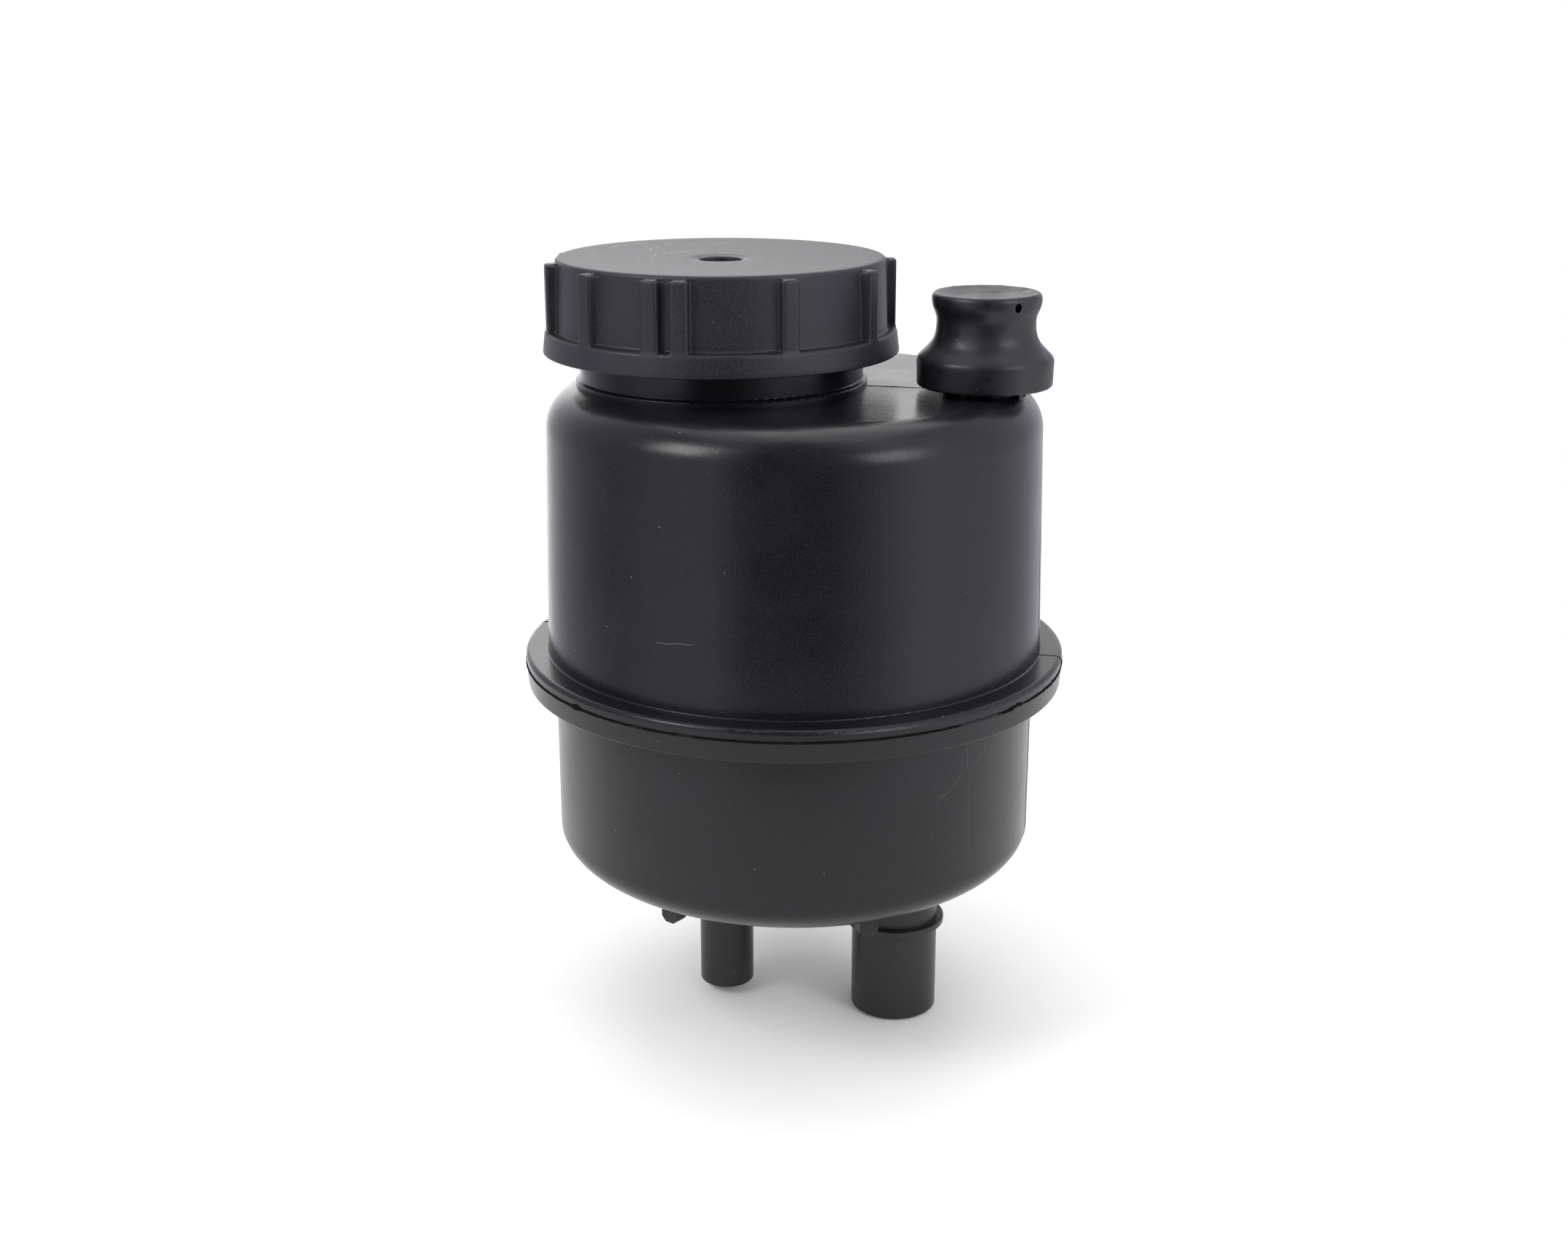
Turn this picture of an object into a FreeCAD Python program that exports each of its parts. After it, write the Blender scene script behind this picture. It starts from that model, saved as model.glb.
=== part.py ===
import FreeCAD, Part

import math
import os

# Hydraulic reservoir: a welded two-part plastic tank with a screw cap, a
# rubber-covered vent, a return filter and two hose stubs.
#
# Millimetres. +Z is up, the origin is on the tank's axis at the underside of
# its flange, and +X points from the tank's axis to the vent and the suction
# stub. The filler neck, the filter and the return stub share one axis on -X.

# ---------------------------------------------------------------- dimensions
# Tank
TANK_R = 68.2                 # lower wall, outside
WALL_T = 3.0
FLANGE_R = 76.5
FLANGE_BOTTOM_R = 76.0
SEAM_Z = 5.7                  # top of the lower flange
BEAD_T = 0.4                  # thickness of the weld bead between the flanges
FLANGE_TOP_Z = 9.2
FLANGE_EDGE_R = 1.3           # upper flange's rounded outer edge
FLANGE_ROOT_R = 0.4           # corner where the wall stands on it
UPPER_FOOT_R = 70.1           # upper wall where it meets the flange
UPPER_HEAD_R = 68.4           # upper wall where the shoulder starts
SHOULDER_R = 11.0
TOP_Z = 83.3
DISH_START_Z = -43.6          # where the straight lower wall ends
DISH_WIDTH = 25.5             # how far the rounded edge reaches inward
BOTTOM_Z = -57.2
ROUNDNESS = 0.60              # pull of the curve's handles at the rounded edge

# Filler neck, on the return axis
NECK_X = -20.7
NECK_R = 39.3
NECK_BORE_R = 36.0
NECK_RIM_Z = 111.9
NECK_BEAD_R = 40.5            # bead round the foot of the neck
NECK_BEAD_H = 1.1
BASKET_SEAT_R = 37.6
BASKET_FLANGE_T = 1.5

# Screw thread, neck and cap
PITCH = 6.0
THREAD_TURNS = 1.5
NECK_THREAD_R = 42.1
CAP_THREAD_R = 39.9
NECK_THREAD_ROOT_W = 3.6
NECK_THREAD_CREST_W = 2.0
CAP_THREAD_ROOT_W = 3.2
CAP_THREAD_CREST_W = 1.6
NECK_THREAD_Z = 97.0          # middle of the neck thread's first turn
THREAD_SINK = 0.3             # how far a thread's root is let into its wall

# Cap
CAP_BASE_Z = 92.0
CAP_RING_R = 49.15
CAP_RING_TOP_R = 48.6
CAP_RING_TOP_Z = 98.2
CAP_WALL_R = 45.8
CAP_TOP_R = 45.2
CAP_TOP_Z = 117.6
CAP_BORE_R = 42.7
CAP_ROOF_Z = 115.1            # underside of the cap's top plate
CAP_DISH = 0.7                # how far the top dips at its hole
CAP_HOLE_R = 5.8
RIB_R = 48.2
RIB_W = 4.8
RIB_TOP_Z = 116.6
RIB_EDGE_R = 0.8
# Directions of the grip ribs, in degrees from +X. Five are evenly spaced, the
# rest share what is left, and one more stands close beside the second.
RIB_FIRST = -123.8
RIB_STEP = 35.0
RIBS_ON_STEP = 5
RIBS_BEHIND = 6
RIB_EXTRA = -98.4

# Cap's inner parts
GASKET_R = 40.6
GASKET_BORE_R = 33.5
GASKET_T = 2.0
HUB_R = 6.6
HUB_FLANGE_R = 8.7
HUB_FLANGE_T = 2.0
HUB_BOTTOM_Z = 99.0
HUB_CUP_R = 4.4
HUB_CUP_BOTTOM_Z = 104.0
BLADE_W = 7.0
BLADE_T = 1.6
BLADE_BOTTOM_Z = 66.0
BLADE_TOP_Z = 102.5

# Vent
VENT_X = 52.6
VENT_TUBE_R = 9.6
VENT_BORE_R = 8.4
VENT_HOLE_R = 6.5
VENT_TOP_Z = 104.0
VENT_RIB_R = 11.4
VENT_RIB_W = 2.2
VENT_RIBS = 8
VENT_RIB_TOP_Z = 98.0
VENT_SLOT_W = 4.0
VENT_SLOT_H = 5.0
BOOT_BOTTOM_Z = 85.7
BOOT_BASE_R = 18.5
BOOT_WAIST_R = 13.3
BOOT_RIM_R = 14.75
BOOT_TOP_Z = 109.9
BOOT_DISH = 1.2
BOOT_BORE_R = 11.9
BOOT_ROOF_Z = 107.0
PINHOLE_R = 1.05
PINHOLE_DIRECTION = -48.9     # degrees from +X
PINHOLE_Z = 107.4
PINHOLE_TILT = 28.0

# Hose stubs and lugs
RETURN_R = 8.0
RETURN_BORE_R = 5.75
RETURN_HOLE_R = 6.4           # oil way through the tank's floor and its riser
RETURN_END_Z = -100.7
RISER_R = 8.5
RISER_TOP_Z = -40.0
SEAT_R = 16.0
SEAT_Z = -48.0
SUCTION_X = 30.6
SUCTION_R = 12.5
SUCTION_BORE_R = 10.0
SUCTION_HOLE_R = 10.8
SUCTION_END_Z = -103.0
COLLAR_R = 14.5
COLLAR_TOP_Z = -73.7
COLLAR_T = 2.0
STUB_EDGE_R = 0.8
LUG_R = 52.5                  # distance of the lugs from the tank's axis
LUG_DIRECTIONS = (-117.0, -55.5, 55.5, 117.0)
LUG_W = 5.6
LUG_DEPTH = 4.0
LUG_BOTTOM_Z = -60.2
LUG_CHAMFER = 1.4

# Filter
FILTER_R = 31.0
PLATE_T = 1.2
FILTER_BOTTOM_Z = -45.0
FILTER_TOP_Z = 42.0
PLATE_RIM_H = 6.0
PLATE_BORE_R = 9.3
PLEATS = 40
PLEAT_OUT_R = 29.3
PLEAT_IN_R = 14.7
PLEAT_BAND = 4.6              # radial depth of the paper at a fold
CORE_R = 13.2
CORE_T = 0.8
WRAP_R = 29.7
WRAP_T = 0.4
SEAL_R = 15.0
BASKET_TOP_R = 33.0
BASKET_BOTTOM_R = 30.0
BASKET_BOTTOM_Z = 60.0
BASKET_T = 1.6
BASKET_WINDOWS = 6
WINDOW_ANGLE = 44.0
SCREEN_T = 0.5
SPRING_R = 12.0
SPRING_WIRE_R = 1.0
SPRING_COILS = 4.5
SPRING_SIDES = 12             # the wire's round section is a polygon

# Baffles
BAFFLE_X = 13.4
BAFFLE_T = 2.0
BAFFLE_TOP_Z = 24.0
BAFFLE_BOTTOM_Z = -46.0
BAFFLE_GAP = 0.3
GUIDE_T = 1.6
GUIDE_DEPTH = 5.0
ANTI_VORTEX_R = 14.0
ANTI_VORTEX_Z = -42.0
LEG_R = 1.2
LEG_INSET = 0.4               # distance from a leg to the edge of its plate
GUARD_R = 9.5
GUARD_Z = 73.0

Z_AXIS = FreeCAD.Vector(0, 0, 1)
EPS = 0.01


# ------------------------------------------------------------------- helpers
def vec(x, y, z):
    return FreeCAD.Vector(x, y, z)


def line(a, b):
    return Part.LineSegment(vec(a[0], 0, a[1]), vec(b[0], 0, b[1])).toShape()


def bezier(*poles):
    curve = Part.BezierCurve()
    curve.setPoles([vec(r, 0, z) for r, z in poles])
    return curve.toShape()


def corner(before, at, after, radius):
    """Two tangent points and the arc between them, at a rounded corner."""
    a = vec(before[0] - at[0], 0, before[1] - at[1]).normalize()
    b = vec(after[0] - at[0], 0, after[1] - at[1]).normalize()
    half = a.getAngle(b) / 2
    tip = vec(at[0], 0, at[1])
    reach = radius / math.tan(half)
    first = tip + a * reach
    last = tip + b * reach
    middle = tip + (a + b).normalize() * (radius / math.sin(half) - radius)
    return first, Part.Arc(first, middle, last).toShape(), last


def outline(points):
    """Closed wire through (r, z) or (r, z, corner radius) points."""
    edges = []
    stops = []
    count = len(points)
    for i, point in enumerate(points):
        if len(point) == 3:
            stops.append(corner(points[i - 1], point, points[(i + 1) % count], point[2]))
        else:
            at = vec(point[0], 0, point[1])
            stops.append((at, None, at))
    for i, (first, arc, last) in enumerate(stops):
        if arc:
            edges.append(arc)
        following = stops[(i + 1) % count][0]
        if last.distanceToPoint(following) > EPS / 10:
            edges.append(Part.LineSegment(last, following).toShape())
    return Part.Wire(edges)


def spin(wire, x=0.0):
    """Solid of revolution about the vertical line at x."""
    solid = Part.Face(wire).revolve(vec(0, 0, 0), Z_AXIS, 360)
    solid.translate(vec(x, 0, 0))
    return solid


def turned(points, x=0.0):
    return spin(outline(points), x)


def rod(radius, z0, z1, x=0.0, y=0.0):
    return Part.makeCylinder(radius, z1 - z0, vec(x, y, z0))


def ring(outer, inner, z0, z1, x=0.0):
    return rod(outer, z0, z1, x).cut(rod(inner, z0 - 1, z1 + 1, x))


def block(x0, x1, y0, y1, z0, z1):
    return Part.makeBox(x1 - x0, y1 - y0, z1 - z0, vec(x0, y0, z0))


def around(shape, degrees, x=0.0, y=0.0):
    """A copy of the shape, turned about the vertical line at (x, y)."""
    copy = shape.copy()
    copy.rotate(vec(x, y, 0), Z_AXIS, degrees)
    return copy


def fused(shapes):
    solid = shapes[0].fuse(shapes[1:])
    return solid.removeSplitter()


def thread(root_r, crest_r, root_w, crest_w, z_start, phase):
    """Trapezoid thread on NECK_X; phase shifts its start by turns."""
    sink = -THREAD_SINK if crest_r > root_r else THREAD_SINK
    helix = Part.makeHelix(PITCH, PITCH * THREAD_TURNS, root_r)
    corners = [
        vec(root_r + sink, 0, -root_w / 2),
        vec(crest_r, 0, -crest_w / 2),
        vec(crest_r, 0, crest_w / 2),
        vec(root_r + sink, 0, root_w / 2),
    ]
    section = Part.makePolygon(corners + corners[:1])
    solid = Part.Wire(helix).makePipeShell([section], True, True)
    solid.rotate(vec(0, 0, 0), Z_AXIS, 360 * phase)
    solid.translate(vec(NECK_X, 0, z_start))
    return solid


# ------------------------------------------------------------------ the tank
def upper_shell():
    base = SEAM_Z + BEAD_T
    start_z = TOP_Z - SHOULDER_R
    skin = turned([
        (0, base),
        (FLANGE_R - 0.1, base),
        (FLANGE_R, FLANGE_TOP_Z, FLANGE_EDGE_R),
        (UPPER_FOOT_R, FLANGE_TOP_Z, FLANGE_ROOT_R),
        (UPPER_HEAD_R, TOP_Z, SHOULDER_R),
        (0, TOP_Z),
    ])
    inside = turned([
        (0, base - 1),
        (UPPER_FOOT_R - WALL_T, base - 1),
        (UPPER_FOOT_R - WALL_T, FLANGE_TOP_Z),
        (UPPER_HEAD_R - WALL_T, TOP_Z - WALL_T, SHOULDER_R - WALL_T),
        (0, TOP_Z - WALL_T),
    ])
    neck = turned([
        (0, start_z + 4),
        (NECK_BEAD_R, start_z + 4),
        (NECK_BEAD_R, TOP_Z + NECK_BEAD_H, 0.5),
        (NECK_R, TOP_Z + NECK_BEAD_H + 0.4, 0.4),
        (NECK_R, NECK_RIM_Z, 0.4),
        (0, NECK_RIM_Z),
    ], NECK_X)
    neck = neck.common(fused([skin, rod(NECK_BEAD_R + 1, TOP_Z - 2, NECK_RIM_Z + 1, NECK_X)]))
    screw = thread(NECK_R, NECK_THREAD_R, NECK_THREAD_ROOT_W, NECK_THREAD_CREST_W,
                   NECK_THREAD_Z, 0.0)
    tube = rod(VENT_TUBE_R, TOP_Z - 2.5, VENT_TOP_Z, VENT_X)
    ribs = []
    for i in range(VENT_RIBS):
        rib = block(VENT_X, VENT_X + VENT_RIB_R, -VENT_RIB_W / 2, VENT_RIB_W / 2,
                    TOP_Z - 2.5, VENT_RIB_TOP_Z)
        ribs.append(around(rib, 360 * (i + 0.5) / VENT_RIBS, VENT_X))
    shell = fused([skin, neck, screw, tube] + ribs)
    bore = rod(NECK_BORE_R, TOP_Z - 8, NECK_RIM_Z + 1, NECK_X)
    seat = rod(BASKET_SEAT_R, NECK_RIM_Z - BASKET_FLANGE_T, NECK_RIM_Z + 1, NECK_X)
    vent = rod(VENT_BORE_R, TOP_Z, VENT_TOP_Z + 1, VENT_X)
    vent_hole = rod(VENT_HOLE_R, TOP_Z - 5, TOP_Z + 1, VENT_X)
    cuts = [inside, bore, seat, vent, vent_hole]
    for i in range(2):
        slot = block(VENT_X - 15, VENT_X + 15, -VENT_SLOT_W / 2, VENT_SLOT_W / 2,
                     VENT_TOP_Z - VENT_SLOT_H, VENT_TOP_Z + 1)
        cuts.append(around(slot, 90 * i, VENT_X))
    return shell.cut(cuts)


def lower_skin(offset, top_z):
    """Lower half's round body, its outline moved inward by the offset."""
    r = TANK_R - offset
    inner_r = TANK_R - DISH_WIDTH
    depth = DISH_START_Z - BOTTOM_Z - offset
    bottom = BOTTOM_Z + offset
    edges = [
        line((0, top_z), (r, top_z)),
        line((r, top_z), (r, DISH_START_Z)),
        bezier(
            (r, DISH_START_Z),
            (r, DISH_START_Z - ROUNDNESS * depth),
            (inner_r + (1 - ROUNDNESS) * (r - inner_r), bottom),
            (inner_r, bottom),
        ),
        line((inner_r, bottom), (0, bottom)),
        line((0, bottom), (0, top_z)),
    ]
    return spin(Part.Wire(edges))


def lug(direction):
    half = LUG_W / 2
    top_z = BOTTOM_Z + WALL_T
    face = Part.makePolygon([
        vec(LUG_R - LUG_DEPTH / 2, -half, top_z),
        vec(LUG_R - LUG_DEPTH / 2, half, top_z),
        vec(LUG_R - LUG_DEPTH / 2, half, LUG_BOTTOM_Z + LUG_CHAMFER),
        vec(LUG_R - LUG_DEPTH / 2, half - LUG_CHAMFER, LUG_BOTTOM_Z),
        vec(LUG_R - LUG_DEPTH / 2, LUG_CHAMFER - half, LUG_BOTTOM_Z),
        vec(LUG_R - LUG_DEPTH / 2, -half, LUG_BOTTOM_Z + LUG_CHAMFER),
        vec(LUG_R - LUG_DEPTH / 2, -half, top_z),
    ])
    return around(Part.Face(face).extrude(vec(LUG_DEPTH, 0, 0)), direction)


def lower_shell():
    flange = turned([
        (0, 0),
        (FLANGE_BOTTOM_R, 0, 0.5),
        (FLANGE_R - 0.1, SEAM_Z),
        (0, SEAM_Z),
    ])
    lugs = [lug(direction) for direction in LUG_DIRECTIONS]
    outside = fused([lower_skin(0, SEAM_Z), flange] + lugs)
    hollow = outside.cut(lower_skin(WALL_T, SEAM_Z + 1))
    riser = rod(RISER_R, BOTTOM_Z + 1, RISER_TOP_Z, NECK_X)
    seat = rod(SEAT_R, BOTTOM_Z + 1, SEAT_Z, NECK_X)
    shell = fused([hollow, riser, seat] + baffle_guides())
    return shell.cut([
        rod(RETURN_HOLE_R, BOTTOM_Z - 1, RISER_TOP_Z + 1, NECK_X),
        rod(SUCTION_HOLE_R, BOTTOM_Z - 1, BOTTOM_Z + WALL_T + 1, SUCTION_X),
    ])


def baffle_guides():
    """Upright ribs on the lower wall that hold the baffle plate's two edges."""
    guides = []
    room = lower_skin(WALL_T - 0.5, SEAM_Z)
    middle = lower_skin(WALL_T + GUIDE_DEPTH, SEAM_Z + 1)
    for x in (BAFFLE_X - GUIDE_T - BAFFLE_GAP, BAFFLE_X + BAFFLE_T + BAFFLE_GAP):
        strip = block(x, x + GUIDE_T, -TANK_R, TANK_R, DISH_START_Z, SEAM_Z - 1)
        pair = strip.common(room).cut(middle)
        guides.extend(pair.Solids)
    return guides


def hose_stub(radius, bore_r, end_z, x):
    """Round hose stub, spin-welded to the flat middle of the tank's floor."""
    return turned([
        (bore_r, BOTTOM_Z),
        (radius, BOTTOM_Z),
        (radius, end_z, STUB_EDGE_R),
        (bore_r, end_z),
    ], x)


def return_hose_stub():
    return hose_stub(RETURN_R, RETURN_BORE_R, RETURN_END_Z, NECK_X)


def suction_hose_stub():
    collar = turned([
        (SUCTION_BORE_R + 1, COLLAR_TOP_Z),
        (COLLAR_R, COLLAR_TOP_Z, 0.4),
        (COLLAR_R, COLLAR_TOP_Z - COLLAR_T, 0.4),
        (SUCTION_BORE_R + 1, COLLAR_TOP_Z - COLLAR_T),
    ], SUCTION_X)
    return fused([hose_stub(SUCTION_R, SUCTION_BORE_R, SUCTION_END_Z, SUCTION_X), collar])


def weld_bead():
    return ring(FLANGE_R + 0.15, UPPER_FOOT_R - WALL_T + 0.3, SEAM_Z, SEAM_Z + BEAD_T)


# ------------------------------------------------------------------- the cap
def grip_rib(direction):
    rib = block(CAP_BORE_R + 1, RIB_R, -RIB_W / 2, RIB_W / 2, CAP_RING_TOP_Z - 1.5, RIB_TOP_Z)
    edges = [edge for edge in rib.Edges if edge.CenterOfMass.x > RIB_R - EPS
             and edge.CenterOfMass.z > CAP_RING_TOP_Z]
    rib = rib.makeFillet(RIB_EDGE_R, edges)
    rib.translate(vec(NECK_X, 0, 0))
    return around(rib, direction, NECK_X)


def rib_directions():
    shown = [RIB_FIRST + RIB_STEP * i for i in range(RIBS_ON_STEP)]
    gap = (360 - RIB_STEP * (RIBS_ON_STEP - 1)) / (RIBS_BEHIND + 1)
    behind = [shown[-1] + gap * (i + 1) for i in range(RIBS_BEHIND)]
    return shown + behind + [RIB_EXTRA]


def filler_cap():
    body = turned([
        (0, CAP_BASE_Z),
        (CAP_RING_R, CAP_BASE_Z, 0.4),
        (CAP_RING_TOP_R, CAP_RING_TOP_Z, 1.2),
        (CAP_WALL_R, CAP_RING_TOP_Z, 0.8),
        (CAP_TOP_R, CAP_TOP_Z, 0.8),
        (CAP_HOLE_R, CAP_TOP_Z - CAP_DISH),
        (0, CAP_TOP_Z - CAP_DISH),
    ], NECK_X)
    outside = fused([body] + [grip_rib(angle) for angle in rib_directions()])
    hollow = outside.cut(rod(CAP_BORE_R, CAP_BASE_Z - 1, CAP_ROOF_Z, NECK_X))
    screw = thread(CAP_BORE_R, CAP_THREAD_R, CAP_THREAD_ROOT_W, CAP_THREAD_CREST_W,
                   NECK_THREAD_Z, -0.5)
    cap = fused([hollow, screw])
    return cap.cut(rod(CAP_HOLE_R, CAP_ROOF_Z - 1, CAP_TOP_Z + 1, NECK_X))


def cap_gasket():
    return ring(GASKET_R, GASKET_BORE_R, NECK_RIM_Z, NECK_RIM_Z + GASKET_T, NECK_X)


def cap_slip_ring():
    return ring(GASKET_R, GASKET_BORE_R, NECK_RIM_Z + GASKET_T, CAP_ROOF_Z, NECK_X)


def blade():
    """Dipstick strip with a pointed tip and two level notches."""
    half = BLADE_W / 2
    tip = 4.0
    strip = Part.Face(Part.makePolygon([
        vec(-half, 0, BLADE_TOP_Z),
        vec(half, 0, BLADE_TOP_Z),
        vec(half, 0, BLADE_BOTTOM_Z + tip),
        vec(half / 2, 0, BLADE_BOTTOM_Z),
        vec(-half / 2, 0, BLADE_BOTTOM_Z),
        vec(-half, 0, BLADE_BOTTOM_Z + tip),
        vec(-half, 0, BLADE_TOP_Z),
    ])).extrude(vec(0, BLADE_T, 0))
    strip.translate(vec(NECK_X, -BLADE_T / 2, 0))
    notches = []
    for z in (BLADE_BOTTOM_Z + 8, BLADE_BOTTOM_Z + 20):
        for side in (-1, 1):
            x = NECK_X + side * half
            notches.append(block(x - 1, x + 1, -BLADE_T, BLADE_T, z, z + 1.2))
    return strip.cut(notches)


def dipstick_hub():
    hub = turned([
        (0, HUB_BOTTOM_Z),
        (HUB_R, HUB_BOTTOM_Z, 1.0),
        (HUB_R, CAP_ROOF_Z - HUB_FLANGE_T),
        (HUB_FLANGE_R, CAP_ROOF_Z - HUB_FLANGE_T),
        (HUB_FLANGE_R, CAP_ROOF_Z),
        (HUB_CUP_R, CAP_ROOF_Z),
        (HUB_CUP_R, HUB_CUP_BOTTOM_Z, 0.8),
        (0, HUB_CUP_BOTTOM_Z),
    ], NECK_X)
    return hub.cut(blade())


# ------------------------------------------------------------------ the vent
def vent_boot():
    waist_z = 102.1
    flare_z = 91.2
    edges = [
        line((BOOT_BORE_R, BOOT_BOTTOM_Z), (BOOT_BASE_R - 1.0, BOOT_BOTTOM_Z)),
        line((BOOT_BASE_R - 1.0, BOOT_BOTTOM_Z), (BOOT_BASE_R - 0.2, BOOT_BOTTOM_Z + 0.8)),
        line((BOOT_BASE_R - 0.2, BOOT_BOTTOM_Z + 0.8), (BOOT_BASE_R, flare_z - 1.0)),
        bezier(
            (BOOT_BASE_R, flare_z - 1.0),
            (BOOT_BASE_R, flare_z),
            (BOOT_BASE_R - 0.5, flare_z + 0.5),
            (BOOT_BASE_R - 1.2, flare_z + 1.2),
        ),
        bezier(
            (BOOT_BASE_R - 1.2, flare_z + 1.2),
            (BOOT_BASE_R - 3.4, flare_z + 3.4),
            (BOOT_WAIST_R, flare_z + 4.6),
            (BOOT_WAIST_R, waist_z),
        ),
        bezier(
            (BOOT_WAIST_R, waist_z),
            (BOOT_WAIST_R, waist_z + 2.4),
            (BOOT_RIM_R - 0.1, waist_z + 3.4),
            (BOOT_RIM_R, BOOT_TOP_Z - 2.0),
        ),
        bezier(
            (BOOT_RIM_R, BOOT_TOP_Z - 2.0),
            (BOOT_RIM_R + 0.05, BOOT_TOP_Z - 0.8),
            (BOOT_RIM_R - 0.4, BOOT_TOP_Z),
            (BOOT_RIM_R - 1.2, BOOT_TOP_Z),
        ),
        bezier(
            (BOOT_RIM_R - 1.2, BOOT_TOP_Z),
            (BOOT_RIM_R - 6.0, BOOT_TOP_Z - BOOT_DISH),
            (BOOT_RIM_R - 8.0, BOOT_TOP_Z - BOOT_DISH),
            (0, BOOT_TOP_Z - BOOT_DISH),
        ),
        line((0, BOOT_TOP_Z - BOOT_DISH), (0, BOOT_ROOF_Z)),
        line((0, BOOT_ROOF_Z), (BOOT_BORE_R - 1.0, BOOT_ROOF_Z)),
        line((BOOT_BORE_R - 1.0, BOOT_ROOF_Z), (BOOT_BORE_R, BOOT_ROOF_Z - 1.0)),
        line((BOOT_BORE_R, BOOT_ROOF_Z - 1.0), (BOOT_BORE_R, BOOT_BOTTOM_Z)),
    ]
    boot = spin(Part.Wire(edges), VENT_X)
    tilt = math.radians(PINHOLE_TILT)
    turn = math.radians(PINHOLE_DIRECTION)
    inward = vec(-math.cos(tilt) * math.cos(turn), -math.cos(tilt) * math.sin(turn), -math.sin(tilt))
    mouth = vec(VENT_X + BOOT_RIM_R * math.cos(turn), BOOT_RIM_R * math.sin(turn), PINHOLE_Z)
    pinhole = Part.makeCylinder(PINHOLE_R, 8, mouth - inward * 3, inward)
    return boot.cut(pinhole)


def vent_foam():
    return rod(VENT_BORE_R - 0.1, TOP_Z, TOP_Z + 14, VENT_X)


def vent_splash_guard():
    plate = rod(GUARD_R, GUARD_Z, GUARD_Z + 1.5, VENT_X)
    legs = []
    for side in (-1, 1):
        leg = rod(LEG_R, GUARD_Z, TOP_Z - WALL_T, VENT_X, side * (GUARD_R - LEG_R - LEG_INSET))
        legs.append(leg)
    return fused([plate] + legs)


# ---------------------------------------------------------------- the filter
def strainer_basket():
    flange_z = NECK_RIM_Z - BASKET_FLANGE_T
    shell = turned([
        (0, BASKET_BOTTOM_Z),
        (BASKET_BOTTOM_R, BASKET_BOTTOM_Z, 2.0),
        (BASKET_TOP_R, flange_z),
        (BASKET_SEAT_R - 0.2, flange_z),
        (BASKET_SEAT_R - 0.2, NECK_RIM_Z),
        (BASKET_TOP_R - BASKET_T, NECK_RIM_Z),
        (BASKET_BOTTOM_R - BASKET_T, BASKET_BOTTOM_Z + BASKET_T),
        (0, BASKET_BOTTOM_Z + BASKET_T),
    ], NECK_X)
    spigot = rod(SPRING_R - SPRING_WIRE_R - 0.4, BASKET_BOTTOM_Z - 3, BASKET_BOTTOM_Z, NECK_X)
    basket = fused([shell, spigot])
    cuts = [rod(3.0, BASKET_BOTTOM_Z - 4, BASKET_BOTTOM_Z + 3, NECK_X)]
    low = BASKET_BOTTOM_Z + 6
    high = NECK_RIM_Z - 8
    for i in range(BASKET_WINDOWS):
        wedge = Part.makeCylinder(BASKET_TOP_R + 1, high - low, vec(0, 0, low), Z_AXIS, WINDOW_ANGLE)
        wedge = wedge.cut(rod(BASKET_BOTTOM_R - 6, low - 1, high + 1))
        wedge.translate(vec(NECK_X, 0, 0))
        cuts.append(around(wedge, 360 * i / BASKET_WINDOWS, NECK_X))
    return basket.cut(cuts)


def strainer_screen():
    """Fine screen that lies against the inside of the basket's wall."""
    low = BASKET_BOTTOM_Z + 3.5
    high = NECK_RIM_Z - 3
    slope = (BASKET_TOP_R - BASKET_BOTTOM_R) / (NECK_RIM_Z - BASKET_BOTTOM_Z - BASKET_T)
    low_r = BASKET_BOTTOM_R - BASKET_T + slope * (low - BASKET_BOTTOM_Z - BASKET_T)
    high_r = BASKET_BOTTOM_R - BASKET_T + slope * (high - BASKET_BOTTOM_Z - BASKET_T)
    return turned([
        (low_r - SCREEN_T, low),
        (low_r, low),
        (high_r, high),
        (high_r - SCREEN_T, high),
    ], NECK_X)


def hold_down_spring():
    foot = FILTER_TOP_Z + SPRING_WIRE_R
    head = BASKET_BOTTOM_Z - SPRING_WIRE_R
    pitch = (head - foot) / SPRING_COILS
    helix = Part.makeHelix(pitch, head - foot, SPRING_R)
    corners = []
    for i in range(SPRING_SIDES):
        angle = 2 * math.pi * i / SPRING_SIDES
        corners.append(vec(SPRING_R + SPRING_WIRE_R * math.cos(angle), 0, SPRING_WIRE_R * math.sin(angle)))
    section = Part.makePolygon(corners + corners[:1])
    spring = Part.Wire(helix).makePipeShell([section], True, True)
    spring.translate(vec(NECK_X, 0, foot))
    return spring


def filter_top_plate():
    low = FILTER_TOP_Z - PLATE_T
    cup = turned([
        (0, low),
        (FILTER_R - PLATE_T, low),
        (FILTER_R - PLATE_T, FILTER_TOP_Z - PLATE_RIM_H),
        (FILTER_R, FILTER_TOP_Z - PLATE_RIM_H),
        (FILTER_R, FILTER_TOP_Z, 0.8),
        (0, FILTER_TOP_Z),
    ], NECK_X)
    pin = rod(SPRING_R - SPRING_WIRE_R - 0.6, low, FILTER_TOP_Z + 3, NECK_X)
    return fused([cup, pin])


def filter_bottom_plate():
    top = FILTER_BOTTOM_Z + PLATE_T
    return turned([
        (PLATE_BORE_R, FILTER_BOTTOM_Z),
        (FILTER_R, FILTER_BOTTOM_Z, 0.8),
        (FILTER_R, FILTER_BOTTOM_Z + PLATE_RIM_H),
        (FILTER_R - PLATE_T, FILTER_BOTTOM_Z + PLATE_RIM_H),
        (FILTER_R - PLATE_T, top),
        (PLATE_BORE_R, top),
    ], NECK_X)


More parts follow.
